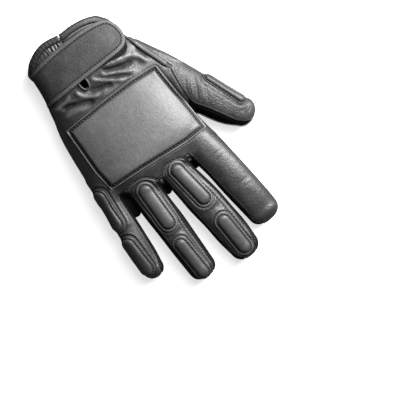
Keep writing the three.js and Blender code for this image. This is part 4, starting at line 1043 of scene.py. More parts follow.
# suede overlay under the palm and the finger fronts
FRONTS = {"index": (9.4, 120.5), "middle": (9.6, 133.5), "ring": (8.8, 124.5), "pinky": (6.2, 98.5)}
PALM = [(-38, -50), (0, -52), (43, -49), (50.5, 0), (60.0, 48), (50, 48), (46.5, 39), (44.5, 35.4), (41, 34), (38, 35.4), (36.4, 42), (34, 54),
        (18, 54), (16.6, 48.6), (13.5, 45), (10.2, 44), (7, 45), (5.6, 49), (4.8, 54), (-13.4, 54), (-14.6, 47.6), (-16, 44.6), (-19, 43.4),
        (-22, 44.6), (-24.6, 49), (-26.5, 54), (-45.6, 54), (-44.8, 8), (-49.4, -18), (-45, -38)]
SUEDE_PLAN = plan_sd(PALM)
FRONT_LINES = {}
for name, (half, end) in FRONTS.items():
    rows = [r for r in DIGITS[name][0][1:]]
    side = [r for r in rows if r[1] < end - half * 1.1]
    w = np.linspace(0, math.pi, 13)
    cx = rows[-1][0]
    outline = [(r[0] + half, r[1]) for r in side] + [(cx + math.cos(a) * half, end - half * 0.8 + math.sin(a) * half * 0.8) for a in w] \
        + [(r[0] - half, r[1]) for r in side[::-1]]
    FRONT_LINES[name] = outline
    SUEDE_PLAN = smin(SUEDE_PLAN, plan_sd(outline), 0.8)
c = Cut((-96, -106, -2), (78, 150, 20)).begin()
c.keep(-c.above()).keep(c.plan(inside_cuff), 0.4).drop(c.plan(IN_FRONT))
for k in strips:
    c.drop(c.slanted(IN_STRIP[k]), 0.5)
c.A = np.maximum(c.A, np.where(c.plan(SUEDE_PLAN) < -0.3, 0.86 - GZ[c.w[2]][None, None, :], -9.0))
c.mesh("palm_panel", "leather", 92000, LEATHER, "black_leather")
c = Cut((-56, -60, -2), (74, 140, 14))
e = -c.plan(SUEDE_PLAN)
thick = 1.25 * (1 - 0.5 * np.exp(-(((e - 1.9) / 0.55) ** 2))) - 0.25 * np.exp(-(e / 1.0)) + 0.1 * c.plan(value_noise(X2 / 9, Y2 / 9, 71))
inside = np.minimum(0.15 - D0[c.w], GZ[c.w[2]][None, None, :] - 0.8)       # where the hand rests, the suede is pressed into it
c.A = smax(np.maximum(np.maximum(inside, -2.5 - D0[c.w]), D0[c.w] - thick), -e, 0.5)
c.A = np.maximum(c.A, 2.0 - c.above())
c.A = np.maximum(c.A, 0.03 - GZ[c.w[2]][None, None, :])
c.mesh("palm_suede", "overlay", 60000, SUEDE, "black_suede", lining=False)


# ------------------------------------------------------------------ sewn-on pieces as meshes
def frames(P, n, closed=False):
    """Directions along a line and to its left, for points P with outward directions n."""
    if closed:
        t = unit(np.roll(P, -1, 0) - np.roll(P, 1, 0))
    else:
        t = unit(np.gradient(P, axis=0))
    left = unit(np.cross(n, t))
    return t, left


def sweep(name, P, n, profile, material, closed=False, level=None, taper=0.0, ink=None, rub=None):
    """A section swept along a line on the skin. profile is (mm to the left, mm outwards), a closed loop."""
    A = D0 if level is None else level
    t, left = frames(P, n, closed)
    L = length_along(P)
    grow = np.ones(len(P)) if closed or not taper else np.clip(smoothstep(-0.2, taper, L) * smoothstep(-0.2, taper, L[-1] - L), 0.08, 1)
    cols = []
    for s, h in profile:
        base, nn = (P, n) if abs(s) < 0.3 else stick(A, P + left * (s * grow)[:, None], 2)
        cols.append(base + nn * (h * grow)[:, None])
    V = np.stack(cols, 1)
    m, k = V.shape[:2]
    i, j = np.meshgrid(np.arange(m if closed else m - 1), np.arange(k), indexing="ij")
    i2, j2 = (i + 1) % m, (j + 1) % k
    Q = np.stack([i * k + j, i2 * k + j, i2 * k + j2, i * k + j2], -1).reshape(-1, 4)
    verts, faces = V.reshape(-1, 3), [Q]
    ink, rub = (None if v is None else np.tile(v, m) for v in (ink, rub))
    if not closed:
        verts = np.vstack([verts, V[0].mean(0), V[-1].mean(0)])
        ink, rub = (None if v is None else np.r_[v, 0, 0] for v in (ink, rub))
        a = np.arange(k)
        faces.append(np.stack([np.full(k, m * k), a, (a + 1) % k], 1))
        faces.append(np.stack([np.full(k, m * k + 1), (m - 1) * k + (a + 1) % k, (m - 1) * k + a], 1))
    return mesh_object(name, verts, faces, material, ink=ink, rub=rub)


def tube_profile(width, height, sides=10, sink=0.3):
    a = np.linspace(0, 2 * math.pi, sides, endpoint=False)
    return [(-width / 2 * math.cos(v), (height + sink) / 2 * (1 + math.sin(-v)) - sink) for v in a]


def outward(o):
    """Faces turned outwards."""
    import bmesh
    b = bmesh.new()
    b.from_mesh(o.data)
    bmesh.ops.remove_doubles(b, verts=b.verts, dist=2e-6)
    bmesh.ops.recalc_face_normals(b, faces=b.faces)
    b.to_mesh(o.data)
    b.free()
    o.data.polygons.foreach_set("use_smooth", np.ones(len(o.data.polygons), bool))
    return o


STITCH_SETS = {}


def stitch_row(group, P, n, pitch=2.8, length=2.0, radius=0.36, tilt=0.0, lift=0.16, start=0.4, across=0.0, closed=False):
    """Threads of one row of stitches along points P: short bowed capsules whose ends dive into the leather."""
    P, n = np.asarray(P, float), np.asarray(n, float)
    if closed:
        P, n = np.vstack([P, P[:1]]), np.vstack([n, n[:1]])
    t, left = frames(P, n)
    L = length_along(P)
    count = int((L[-1] - 2 * start) / pitch)
    if count < 1:
        return
    step = (L[-1] - 2 * start) / count
    u = start + step * (np.arange(count) + 0.5)
    at = [np.stack([np.interp(u, L, M[:, k]) for k in range(3)], 1) for M in (P, n, t, left)]
    C, N_, T_, S_ = at[0], unit(at[1]), unit(at[2]), unit(at[3])
    D = T_ * math.cos(tilt) + S_ * math.sin(tilt)
    W = unit(np.cross(N_, D))
    C = C + S_ * across
    STITCH_SETS.setdefault(group, []).append((C, N_, D, W, length, radius, lift))


def build_stitches(group, material, sides=6, rings=5):
    import itertools
    verts, faces, base = [], [], 0
    x = np.array([-0.5, -0.36, 0.0, 0.36, 0.5])
    r = np.array([0.35, 0.9, 1.0, 0.9, 0.35])
    z = np.array([-1.6, -0.35, 0.25, -0.35, -1.6])
    a = np.linspace(0, 2 * math.pi, sides, endpoint=False)
    tmpl = [(x[k], r[k] * math.cos(v), r[k] * math.sin(v) + z[k]) for k in range(rings) for v in a]
    tmpl += [(x[0] - 0.02, 0, z[0]), (x[-1] + 0.02, 0, z[-1])]
    tmpl = np.array(tmpl)
    q = np.array([[k * sides + j, k * sides + (j + 1) % sides, (k + 1) * sides + (j + 1) % sides, (k + 1) * sides + j]
                  for k, j in itertools.product(range(rings - 1), range(sides))])
    tri = np.array([[rings * sides, (j + 1) % sides, j] for j in range(sides)]
                   + [[rings * sides + 1, (rings - 1) * sides + j, (rings - 1) * sides + (j + 1) % sides] for j in range(sides)])
    V, Q, T = [], [], []
    for C, N_, D, W, length, radius, lift in STITCH_SETS[group]:
        p = (C[:, None] + N_[:, None] * lift + D[:, None] * (tmpl[None, :, 0:1] * length) + W[:, None] * (tmpl[None, :, 1:2] * radius)
             + N_[:, None] * (tmpl[None, :, 2:3] * radius))
        m = len(tmpl)
        off = base + np.arange(len(C))[:, None, None] * m
        V.append(p.reshape(-1, 3))
        Q.append((q[None] + off).reshape(-1, 4))
        T.append((tri[None] + off).reshape(-1, 3))
        base += len(C) * m
    o = mesh_object(group, np.vstack(V), [np.vstack(Q), np.vstack(T)], material)
    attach(o, "root")
    return o


def plan_ring(rounded, e):
    """Closed outline moved inwards by e (outwards where e is negative)."""
    t = unit(np.roll(rounded, -1, 0) - np.roll(rounded, 1, 0))
    return rounded + np.stack([-t[:, 1], t[:, 0]], 1) * e


def rounded_outline(points, radius, step):
    """Outline with rounded corners, running anticlockwise, evenly spaced."""
    P = np.array(points, float)
    if np.sum(P[:, 0] * np.roll(P[:, 1], -1) - np.roll(P[:, 0], -1) * P[:, 1]) < 0:
        P = P[::-1]
    out = []
    for i in range(len(P)):
        a, b, c = P[i - 1], P[i], P[(i + 1) % len(P)]
        u, v = unit(a - b), unit(c - b)
        angle = math.acos(np.clip(u @ v, -1, 1))
        if angle > math.radians(150):
            r = min(np.linalg.norm(a - b), np.linalg.norm(c - b)) * 0.3
        else:
            r = radius / math.tan(angle / 2)
        for k in np.linspace(0, 1, 9):
            out.append((1 - k) ** 2 * (b + u * r) + 2 * k * (1 - k) * b + k * k * (b + v * r))
    out = np.array(out)
    L = length_along(np.vstack([out, out[:1]]))
    s = np.linspace(0, L[-1], int(L[-1] / step), endpoint=False)
    return np.stack([np.interp(s, L, np.r_[out[:, k], out[0, k]]) for k in range(2)], 1)


def puff(o, pinned, cap, pressure=4.0, mass=0.002, last=20):
    """Blows a closed pad up with cloth simulation; its sewn edge stays where it is."""
    n = len(o.data.vertices)
    before = np.empty(n * 3, np.float32)
    o.data.vertices.foreach_get("co", before)
    g = o.vertex_groups.new(name="sewn")
    g.add([int(i) for i in np.nonzero(pinned)[0]], 1.0, "REPLACE")
    m = o.modifiers.new("puff", "CLOTH")
    m.settings.vertex_group_mass = "sewn"
    m.settings.mass = mass
    m.settings.use_pressure = True
    m.settings.uniform_pressure_force = pressure
    m.settings.effector_weights.gravity = 0
    m.settings.quality = 6
    m.point_cache.frame_start, m.point_cache.frame_end = 1, last
    for f in range(1, last + 1):
        bpy.context.scene.frame_set(f)
    dg = bpy.context.evaluated_depsgraph_get()
    e = o.evaluated_get(dg)
    after = np.empty(n * 3, np.float32)
    e.data.vertices.foreach_get("co", after)
    o.modifiers.clear()
    o.vertex_groups.clear()
    bpy.context.scene.frame_set(1)
    move = (after - before).reshape(-1, 3)
    size = np.linalg.norm(move, axis=1, keepdims=True)
    print("puff", o.name, "mean", float(size.mean() * 1000), "max", float(size.max() * 1000))
    move *= np.minimum(1, cap * MM / np.maximum(size, 1e-9))
    o.data.vertices.foreach_set("co", (before.reshape(-1, 3) + move).ravel())
    o.data.update()
    return o


def subdivided(o, levels=1):
    m = o.modifiers.new("smooth", "SUBSURF")
    m.levels = m.render_levels = levels
    dg = bpy.context.evaluated_depsgraph_get()
    me = bpy.data.meshes.new_from_object(o.evaluated_get(dg), preserve_all_data_layers=False, depsgraph=dg)
    old = o.data
    o.modifiers.clear()
    o.data = me
    me.name = o.name
    bpy.data.meshes.remove(old)
    o.data.polygons.foreach_set("use_smooth", np.ones(len(o.data.polygons), bool))
    return o


class Unrolled:
    """Skin round an axis, as flat coordinates: s along the axis, w to its left, h outwards."""
    def __init__(self, a, b, reach=10.0, step=0.5):
        a, b = np.array(a, float), np.array(b, float)
        self.length = float(np.linalg.norm(b - a))
        u = (b - a) / self.length
        self.s0, self.step, self.j0 = -reach, step, int(reach / step)
        s = np.arange(-reach, self.length + reach + step, step)
        P, n = lay(a + s[:, None] * u)
        cols = {0: (P, n)}
        for sign in (1, -1):
            Q, m = P, n
            for j in range(1, self.j0 + 1):
                t = unit(np.gradient(Q, axis=0))
                Q, m = stick(D0, Q + unit(np.cross(m, t)) * step * sign, 2)
                cols[sign * j] = (Q, m)
        self.P = np.stack([cols[j][0] for j in range(-self.j0, self.j0 + 1)], 1)
        self.n = np.stack([cols[j][1] for j in range(-self.j0, self.j0 + 1)], 1)

    def at(self, s, w, h=0.0):
        s, w = np.asarray(s, float), np.asarray(w, float)
        i, j = (s - self.s0) / self.step, w / self.step + self.j0
        i = np.clip(i, 0, self.P.shape[0] - 1.001)
        j = np.clip(j, 0, self.P.shape[1] - 1.001)
        a, b = i.astype(int), j.astype(int)
        f, g = (i - a)[..., None], (j - b)[..., None]

        def of(M):
            return (M[a, b] * (1 - f) + M[a + 1, b] * f) * (1 - g) + (M[a, b + 1] * (1 - f) + M[a + 1, b + 1] * f) * g
        n = unit(of(self.n))
        return of(self.P) + n * np.asarray(h, float)[..., None], n


def stadium(length, radius, side, cap=16):
    """Ring of a stadium: right side, tip end, left side, wrist end; (s, w)."""
    m = max(4, int(length / side))
    s = np.linspace(0, length, m)
    a = (np.arange(cap) + 0.5) / cap * math.pi
    right = np.stack([s, np.full(m, -radius)], 1)
    tip = np.stack([length + radius * np.sin(a), -radius * np.cos(a)], 1)
    left = np.stack([s[::-1], np.full(m, radius)], 1)
    back = np.stack([-radius * np.sin(a), radius * np.cos(a)], 1)
    return np.vstack([right, tip, left, back]), m, cap


def mirror_fill(m, cap, offset, flip=False):
    """Quads across the last ring of a stadium."""
    right = list(range(m))
    tip = list(range(m, m + cap))
    left = list(range(m + cap, 2 * m + cap))
    back = list(range(2 * m + cap, 2 * m + 2 * cap))
    h = cap // 2
    R = back[h:] + right + tip[:h]
    Lf = back[:h][::-1] + left[::-1] + tip[h:][::-1]
    q = np.array([[R[k], R[k + 1], Lf[k + 1], Lf[k]] for k in range(len(R) - 1)]) + offset
    return q[:, ::-1] if flip else q


def ring_quads(count, size, offset=0):
    i, j = np.meshgrid(np.arange(count - 1), np.arange(size), indexing="ij")
    j2 = (j + 1) % size
    return (np.stack([i * size + j, i * size + j2, (i + 1) * size + j2, (i + 1) * size + j], -1).reshape(-1, 4)) + offset


for name, (a, b, half, rise, edge) in PADS.items():
    skin = Unrolled(a, b)
    # the padding itself: bottom, edge, shoulder, crown
    shoulder = 2.5
    insets = [1.2, 0.35, 0.0, 0.1, 0.45, 0.95, 1.6, 2.4, 3.3, half - 0.9]
    rings = []
    for k, e in enumerate(insets):
        ring, m, cap = stadium(skin.length, half - e, 1.5)
        if k < 3:
            h = (0.12, 0.12, 0.45)[k]
        else:
            x = min(e / shoulder, 1.0)
            h = 0.45 + (rise - 0.9) * (1 - (1 - x) ** 2.2) ** (1 / 2.2) + 0.35 * smoothstep(1.0, half, e)
        bumpy = 0.10 * value_noise(ring[:, 0] / 6.0 + 3.7 * len(name), ring[:, 1] / 4.0, 80) * (k > 4)
        P, _ = skin.at(ring[:, 0], ring[:, 1], h + bumpy)
        rings.append(P)
    size = len(rings[0])
    Q = [ring_quads(len(rings), size), mirror_fill(m, cap, 0, True), mirror_fill(m, cap, (len(rings) - 1) * size)]
    # the little-finger and thumb pads take the darker copy of the pad leather, a painted shade
    o = outward(mesh_object(name + "_cover", np.vstack(rings), [np.vstack(Q)], LEATHER_PAD_SHADED if name.startswith(("pinky", "thumb")) else LEATHER_PAD))
    pinned = np.zeros(len(o.data.vertices), bool)
    pinned[:4 * size] = True
    puff(o, pinned, 0.9)
    subdivided(o)
    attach(o, "root")
    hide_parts(name)
    # stitched edge round it, wider on the little-finger side at the finger ends
    wide = 1.0 if name in ("middle_tip_pad", "ring_tip_pad") else 0.0
    prof = [(0.0, 0.12), (-0.15, 0.5), (0.22, 0.26), (0.55, 0.14), (0.95, 0.30), (1.25, 0.78), (1.6, 0.98), (edge - 0.7, 0.92), (edge - 0.35, 0.70),
            (edge - 0.08, 0.36), (edge + 0.02, -0.1), (edge - 0.5, -0.12), (0.8, -0.1)]
    rings = []
    for d, h in prof:
        ring, m, cap = stadium(skin.length, half, 1.2, 20)
        out = unit(ring - np.stack([np.clip(ring[:, 0], 0, skin.length), np.zeros(len(ring))], 1))
        push = d + wide * max(0.0, d - 1.0) / (edge - 1.0) * np.clip(-out[:, 1], 0, 1)
        pucker = 1 + 0.16 * np.sin(np.arange(len(ring)) * 2 * math.pi / 2.3) * (h > 0.6)
        P, _ = skin.at(ring[:, 0] + out[:, 0] * push, ring[:, 1] + out[:, 1] * push, h * pucker)
        rings.append(P)
    size = len(rings[0])
    Q = ring_quads(len(rings), size)
    j = np.arange(size)
    last = (len(rings) - 1) * size
    Q = np.vstack([Q, np.stack([last + j, last + (j + 1) % size, (j + 1) % size, j], 1)])
    # the stitched groove is marked dark (painted shade, with the dark of the seam) and the crest of the edge light
    # (painted highlight)
    marks = np.array([(1.0 if 0.1 < d < 1.1 and h < 0.6 else 0.0) for d, h in prof])
    crest_highlight = np.array([(1.0 if h > 0.85 else 0.0) for d, h in prof])
    o = subdivided(outward(mesh_object(name + "_edge", np.vstack(rings), [Q], LEATHER_EDGE, ink=np.repeat(marks, size), rub=np.repeat(crest_highlight * 0.6, size))))
    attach(o, "root")
    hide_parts(name)
    ring, m, cap = stadium(skin.length, half + 0.58, 0.8, 24)
    P, n = skin.at(ring[:, 0], ring[:, 1], 0.24)
    stitch_row("pad_stitches", P, n, 2.5, 1.9, 0.30, closed=True)

# large plate on the back of the hand
def plate_rise(p):
    """Height of the padded plate over the skin: a steep soft edge, then a low crown."""
    e = np.maximum(-signed_outline(PLATE, p[:, 0], p[:, 1]), 0)
    edge = 0.9 + 1.8 * (1 - (1 - np.clip(e / 2.0, 0, 1)) ** 2.4)
    crown = 2.2 * np.clip(1 - ((p[:, 0]) / 46) ** 2, 0, 1) * np.clip(1 - 0.8 * ((p[:, 1] - 2) / 33.5) ** 4, 0, 1)
    return edge + crown + 0.16 * value_noise(p[:, 0] / 14 + 3, p[:, 1] / 12, 91) * smoothstep(2, 8, e)


def spread(total, inner=2.2):
    """Places from 0 to 1 along a side, crowded at both ends."""
    near = np.array([0.0, 0.15, 0.5, 1.1, 1.9, 3.0, 4.4])
    mid = np.linspace(4.4, total - 4.4, int((total - 8.8) / inner))[1:-1]
    return np.r_[near, mid, total - near[::-1]] / total


def along_side(points, f):
    P = np.array(points, float)
    L = length_along(P)
    return np.stack([np.interp(f * L[-1], L, P[:, k]) for k in range(2)], 1)


fu, fv = spread(86.0), spread(60.0)
corner = [PLATE.index(c) for c in ((-43.0, -25.6), (42, -28.8), (43.6, 26), (-43.2, 34.6))]
low_side, little_side_ = along_side(PLATE[:corner[1] + 1], fu), along_side(PLATE[corner[1]:corner[2] + 1], fv)
tip_side, thumb_side_ = along_side(PLATE[corner[2]:corner[3] + 1][::-1], fu), along_side([PLATE[0], PLATE[-1]], fv)
U, V = fu[None, :, None], fv[:, None, None]
c00, c10, c01, c11 = (np.array(PLATE[k], float) for k in (corner[0], corner[1], corner[3], corner[2]))
plan = ((1 - V) * low_side[None] + V * tip_side[None] + (1 - U) * thumb_side_[:, None] + U * little_side_[:, None]
        - (1 - U) * (1 - V) * c00 - U * (1 - V) * c10 - (1 - U) * V * c01 - U * V * c11)
rows_, cols_ = plan.shape[:2]
P, n = lay(plan.reshape(-1, 2))
cover = P + n * plate_rise(plan.reshape(-1, 2))[:, None]
base = P + n * 0.12
ids = np.arange(rows_ * cols_).reshape(rows_, cols_)
face = np.stack([ids[:-1, :-1], ids[:-1, 1:], ids[1:, 1:], ids[1:, :-1]], -1).reshape(-1, 4)
edge_ids = np.r_[ids[0, :-1], ids[:-1, -1], ids[-1, :0:-1], ids[:0:-1, 0]]
nxt = np.roll(edge_ids, -1)
wall = np.stack([edge_ids, nxt, nxt + ids.size, edge_ids + ids.size], 1)
# the plate cover takes the lighter leather, a painted sheen
o = outward(mesh_object("back_pad_cover", np.vstack([cover, base]), [np.vstack([face, face[:, ::-1] + ids.size, wall])], LEATHER_PLATE_LIT))
co = np.empty(len(o.data.vertices) * 3, np.float32)
o.data.vertices.foreach_get("co", co)
co = co.reshape(-1, 3) / MM - PLAN
e = -signed_outline(PLATE, co[:, 0], co[:, 1])
pinned = (sample(D0, co) < 0.9) | (e < 0.3)
puff(o, pinned, 0.8, 2.0)
subdivided(o)
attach(o, "root")
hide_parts("back_pad")

def mitred(points, out, step=1.0, radius=0.9):
    """Outline moved outwards, its corners kept; the same number of points for every distance."""
    P = np.array(points, float)
    if np.sum(P[:, 0] * np.roll(P[:, 1], -1) - np.roll(P[:, 0], -1) * P[:, 1]) < 0:
        P = P[::-1]
    u, v = unit(P - np.roll(P, 1, 0)), unit(np.roll(P, -1, 0) - P)
    nu, nv = np.stack([u[:, 1], -u[:, 0]], 1), np.stack([v[:, 1], -v[:, 0]], 1)
    Q = P + out * (nu + nv) / (1 + (nu * nv).sum(1, keepdims=True))
    bend = (u * v).sum(1) < 0.85
    ends = []
    for q, uu, vv, sharp in zip(Q, u, v, bend):
        ks = np.linspace(0, 1, 6)[:, None]
        a_, b_ = q - uu * radius, q + vv * radius
        ends.append((1 - ks) ** 2 * a_ + 2 * ks * (1 - ks) * q + ks**2 * b_ if sharp else q[None])
    res = []
    for k, pts in enumerate(ends):
        m = max(2, int(np.linalg.norm(np.roll(P, -1, 0)[k] - P[k]) / step))
        f = np.linspace(0, 1, m + 1)[1:-1, None]
        res += [pts, pts[-1] * (1 - f) + ends[(k + 1) % len(ends)][0] * f]
    return np.vstack(res)


prof = [(-0.1, -0.1), (-0.1, 0.4), (-0.5, 0.22), (-1.1, 0.14), (-1.7, 0.16), (-2.2, 0.42), (-2.45, 1.1), (-2.72, 1.5), (-3.02, 1.5),
        (-3.28, 1.05), (-3.5, 0.45), (-3.6, -0.1), (-2.8, -0.15), (-1.4, -0.15)]
rings = []
for d, h in prof:
    P, n = lay(mitred(PLATE, -d, 1.2))
    rings.append(P + n * h)
size = len(rings[0])
Q = ring_quads(len(rings), size)
j = np.arange(size)
last = (len(rings) - 1) * size
Q = np.vstack([Q, np.stack([last + j, last + (j + 1) % size, (j + 1) % size, j], 1)])
# the groove rows are marked dark (painted shade, with the dark of the seam) and the crest rows light (painted
# highlight, with some wear)
o = mesh_object("back_pad_rim_welt", np.vstack(rings), [Q], LEATHER_EDGE, ink=np.repeat([0.0, 1, 1, 1, 1, 0.6, 0, 0, 0, 0.3, 1, 0, 0, 0], size),
                rub=np.repeat([0.0, 0, 0, 0, 0, 0, 0.3, 1, 1, 0.2, 0, 0, 0, 0], size))
P, n = lay(mitred(PLATE, 0.0, 0.8))
t, left = frames(P, n, True)
subdivided(outward(o))
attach(o, "root")
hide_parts("back_pad_rim")
B, nb = stick(D0, P - left * 1.15, 2)
stitch_row("rim_stitches", B, nb, 2.7, 2.3, 0.36, tilt=-0.7, lift=0.36, closed=True)

# piping between the thumb base and the strap, and the piped edge of the vent
P, n = lay(curve(THUMB_PIPING, 0.8))
# the top of the cord is marked light: painted highlight, with some wear
o = subdivided(outward(sweep("thumb_piping_cord", P, n, tube_profile(3.9, 2.5, 14), LEATHER_EDGE, taper=6.0, rub=[0, 0, 0, 0.2, 0.6, 0.8, 0.8, 0.8, 0.6, 0.3, 0, 0, 0, 0])))
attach(o, "root")
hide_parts("thumb_piping")
left_edge = [(x - h - 0.4, y) for x, y, h in VENT if y > -90]
right_edge = [(x + h + 0.4, y) for x, y, h in VENT if y > -90]
loop = [(1.6, -86), *left_edge[:-1], (7.4, -48.5), (9.2, -47.6), (11.0, -48.5), *right_edge[:-1][::-1], (5.2, -86)]
P, n = lay(curve(loop, 0.6))
# the top of the cord is marked light: painted highlight, with some wear
o = subdivided(outward(sweep("vent_binding_cord", P, n, tube_profile(1.9, 1.6, 8, 0.6), LEATHER_HEM, taper=1.0, rub=[0, 0, 0, 0, 0.7, 0.7, 0, 0])))
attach(o, "root")
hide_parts("vent_binding")

line = curve([(-49.4, 17), (-49.6, 22), (-51.4, 27.6), (-54.6, 34), (-58.6, 40.6), (-63.2, 46.0), (-68.0, 50.2), (-73.0, 53.8), (-78.6, 56.4), (-84, 56.4)], 0.8)
P, n = stick(D0, np.column_stack([line, np.full(len(line), 15.0)]), 10)
# the whole cord is marked light: painted highlight, with some wear
o = subdivided(outward(sweep("thumb_front_piping", P, n, tube_profile(1.25, 1.1, 8, 0.4), PIPING, taper=2.0, rub=np.ones(8))))
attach(o, "root")

# wrist strap: a stiff band over the wrist; a is the length along it from the middle of the back, h its thickness
BT = np.array(BODY, float)
S_Y = np.linspace(-93, -52, 24)
S_A = np.arange(-48, 80, 0.5)
LIFT = 1.5


def strap_section(y):
    xl, xr, zb, zt = (hermite(BT[:, 0], BT[:, k], y) for k in range(1, 5))
    zc, cx, hw = zb + (zt - zb) * 0.42, (xl + xr) / 2, (xr - xl) / 2 + LIFT
    a = np.linspace(math.pi, -0.9, 900)
    x = cx + np.where(np.cos(a) > 0, hw - 1.9, hw) * np.sign(np.cos(a)) * np.abs(np.cos(a)) ** 0.8
    z = np.where(np.sin(a) >= 0, zc + (zt + LIFT - zc) * np.abs(np.sin(a)) ** 0.8, zc - (zc - zb + LIFT) * np.abs(np.sin(a)) ** (2 / 3.4))
    keep = x > -27
    keep |= a < math.pi / 2
    xs, zs = x[keep], z[keep]
    d = np.arange(17, 0, -0.5)
    slope = (zs[6] - zs[0]) / (xs[6] - xs[0])
    tail_x = xs[0] - d
    tail_z = zs[0] - slope * d - 0.0135 * d * d
    xs, zs = np.r_[tail_x, xs], np.r_[tail_z, zs]
    L = np.r_[0, np.cumsum(np.hypot(np.diff(xs), np.diff(zs)))]
    L -= np.interp(0.0, xs[:np.argmax(xs)], L[:np.argmax(xs)])
    X, Z = np.interp(S_A, L, xs), np.interp(S_A, L, zs)
    tx, tz = np.gradient(X), np.gradient(Z)
    m = np.hypot(tx, tz)
    return X, Z, -tz / m, tx / m


S_TABLE = np.array([strap_section(y) for y in S_Y])             # y, (x, z, nx, nz), a
low = S_TABLE[12, 1] > 9.5
A_END = float(S_A[low & (S_A > 0)].max())


def strap_at(a, y, h):
    i = np.clip((np.asarray(y) - S_Y[0]) / (S_Y[1] - S_Y[0]), 0, len(S_Y) - 1.001)
    j = np.clip((np.asarray(a) - S_A[0]) / 0.5, 0, len(S_A) - 1.001)
    p, q = i.astype(int), j.astype(int)
    f, g = i - p, j - q
    X, Z, NX, NZ = [(S_TABLE[p, k, q] * (1 - g) + S_TABLE[p, k, q + 1] * g) * (1 - f) + (S_TABLE[p + 1, k, q] * (1 - g) + S_TABLE[p + 1, k, q + 1] * g) * f
                    for k in range(4)]
    m = np.hypot(NX, NZ)
    n = np.stack([NX / m, np.zeros_like(NX), NZ / m], 1)
    h = np.broadcast_to(h, X.shape) * (1 - 0.55 * smoothstep(34, 54, np.asarray(a, float)))      # pulled tight round the side
    return np.stack([X, np.asarray(y, float), Z], 1) + n * h[:, None], n


mid = S_TABLE[12]
flat = []
for x, y in STRAP[1:-1]:
    flat.append((float(np.interp(x, mid[0][:np.argmax(mid[0])], S_A[:np.argmax(mid[0])])) if x < 42 else float(np.interp(42, mid[0][:np.argmax(mid[0])], S_A[:np.argmax(mid[0])])) + 2, y))
flat = [(A_END, -58.2), *flat, (A_END, -84.6)]
BAND = rounded_outline(flat, 4.5, 1.15)
for _ in range(3):
    BAND = 0.5 * BAND + 0.25 * (np.roll(BAND, 1, 0) + np.roll(BAND, -1, 0))
section_ = [(3.0, 0.0), (0.9, 0.02), (0.2, 0.3), (0.0, 0.9), (0.05, 1.45), (0.3, 1.95), (0.8, 2.22), (1.6, 2.34), (2.5, 2.34), (3.1, 2.24), (3.4, 1.9), (3.6, 1.5), (3.85, 1.5),
            (4.1, 1.8), (4.45, 2.12), (4.9, 2.24), (5.6, 2.2), (6.1, 2.2)]
rings = []
for e, h in section_:
    r = plan_ring(BAND, e)
    soft = 0.14 * value_noise(r[:, 0] / 9, r[:, 1] / 9, 101) * (h > 1.0)
    rings.append(strap_at(r[:, 0], r[:, 1], h + soft)[0])
inner = plan_ring(BAND, section_[-1][0])
sk = np.array([[-24.0, -72.0], [A_END - 14, -71.5]])
v = sk[1] - sk[0]
t = np.clip(((inner - sk[0]) @ v) / (v @ v), 0, 1)
spine = sk[0] + (np.round(t * 40) / 40)[:, None] * v
for k in range(1, 9):
    f = k / 8
    p = inner * (1 - f) + spine * f
    h = 2.2 + 0.3 * math.sin(f * math.pi / 2) + 0.3 * value_noise(p[:, 0] / 11, p[:, 1] / 11, 102)
    rings.append(strap_at(p[:, 0], p[:, 1], h)[0])
under_ = []
inner = plan_ring(BAND, 3.0)
for k in range(1, 5):
    p = inner * (1 - k / 4) + spine * k / 4
    under_.append(strap_at(p[:, 0], p[:, 1], np.zeros(len(p)))[0])
rings = under_[::-1] + rings
size = len(rings[0])
V = np.vstack(rings)
Q = ring_quads(len(rings), size)
# the rim's crest is marked light (painted highlight, with some wear) and the stitch row's groove dark (painted shade,
# with the dark of the seam)
on_rim = [1.0 if e < 3.2 and h > 1.0 else 0.0 for e, h in section_]
on_row = [1.0 if 3.2 < e < 4.2 else 0.0 for e, h in section_]
o = outward(mesh_object("wrist_strap_band", V, [Q], STRAP_LEATHER, ink=np.repeat([0.0] * 4 + on_row + [0.0] * 8, size), rub=np.repeat([0.0] * 4 + on_rim + [0.0] * 8, size)))
subdivided(o)
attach(o, "root")
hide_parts("wrist_strap")
r = plan_ring(BAND, 3.72)
P, n = strap_at(r[:, 0], r[:, 1], np.full(len(r), 1.6))
stitch_row("strap_stitches", P, n, 2.6, 1.9, 0.28, lift=0.12, closed=True)

# rows of stitches in the seams
for name in ("index_side", "middle_thumb_side", "middle_little_side", "ring_thumb_side", "ring_little_side", "little_side", "middle_base", "ring_base"):
    side = SEAMS[name][1]
    P, n = lines[name]
    t, left = frames(P, n)
    B, nb = stick(D1, P - left * side * 0.45, 3)
    stitch_row("seam_stitches", B, nb, 2.7, 1.7, 0.30, lift=0.18)
for name in INNER_ROWS:
    P, n = lines[name]
    B, nb = stick(D1, P, 3)
    stitch_row("seam_stitches", B, nb, 2.7, 1.8, 0.32, lift=0.16)
for (x, y), angle in (((-19.3, 48.6), 0.1), ((10.2, 50.4), 0.0)):     # bar tacks at the crotches
    for k in range(5):
        P, n = lay(np.array([(x - 1.9, y - 2.0 + k * 0.95), (x, y - 2.0 + k * 0.95), (x + 1.9, y - 2.0 + k * 0.95)]))
        B, nb = stick(D1, P, 2)
        stitch_row("seam_stitches", B, nb, 3.8, 3.6, 0.42, lift=0.3, start=0.0)
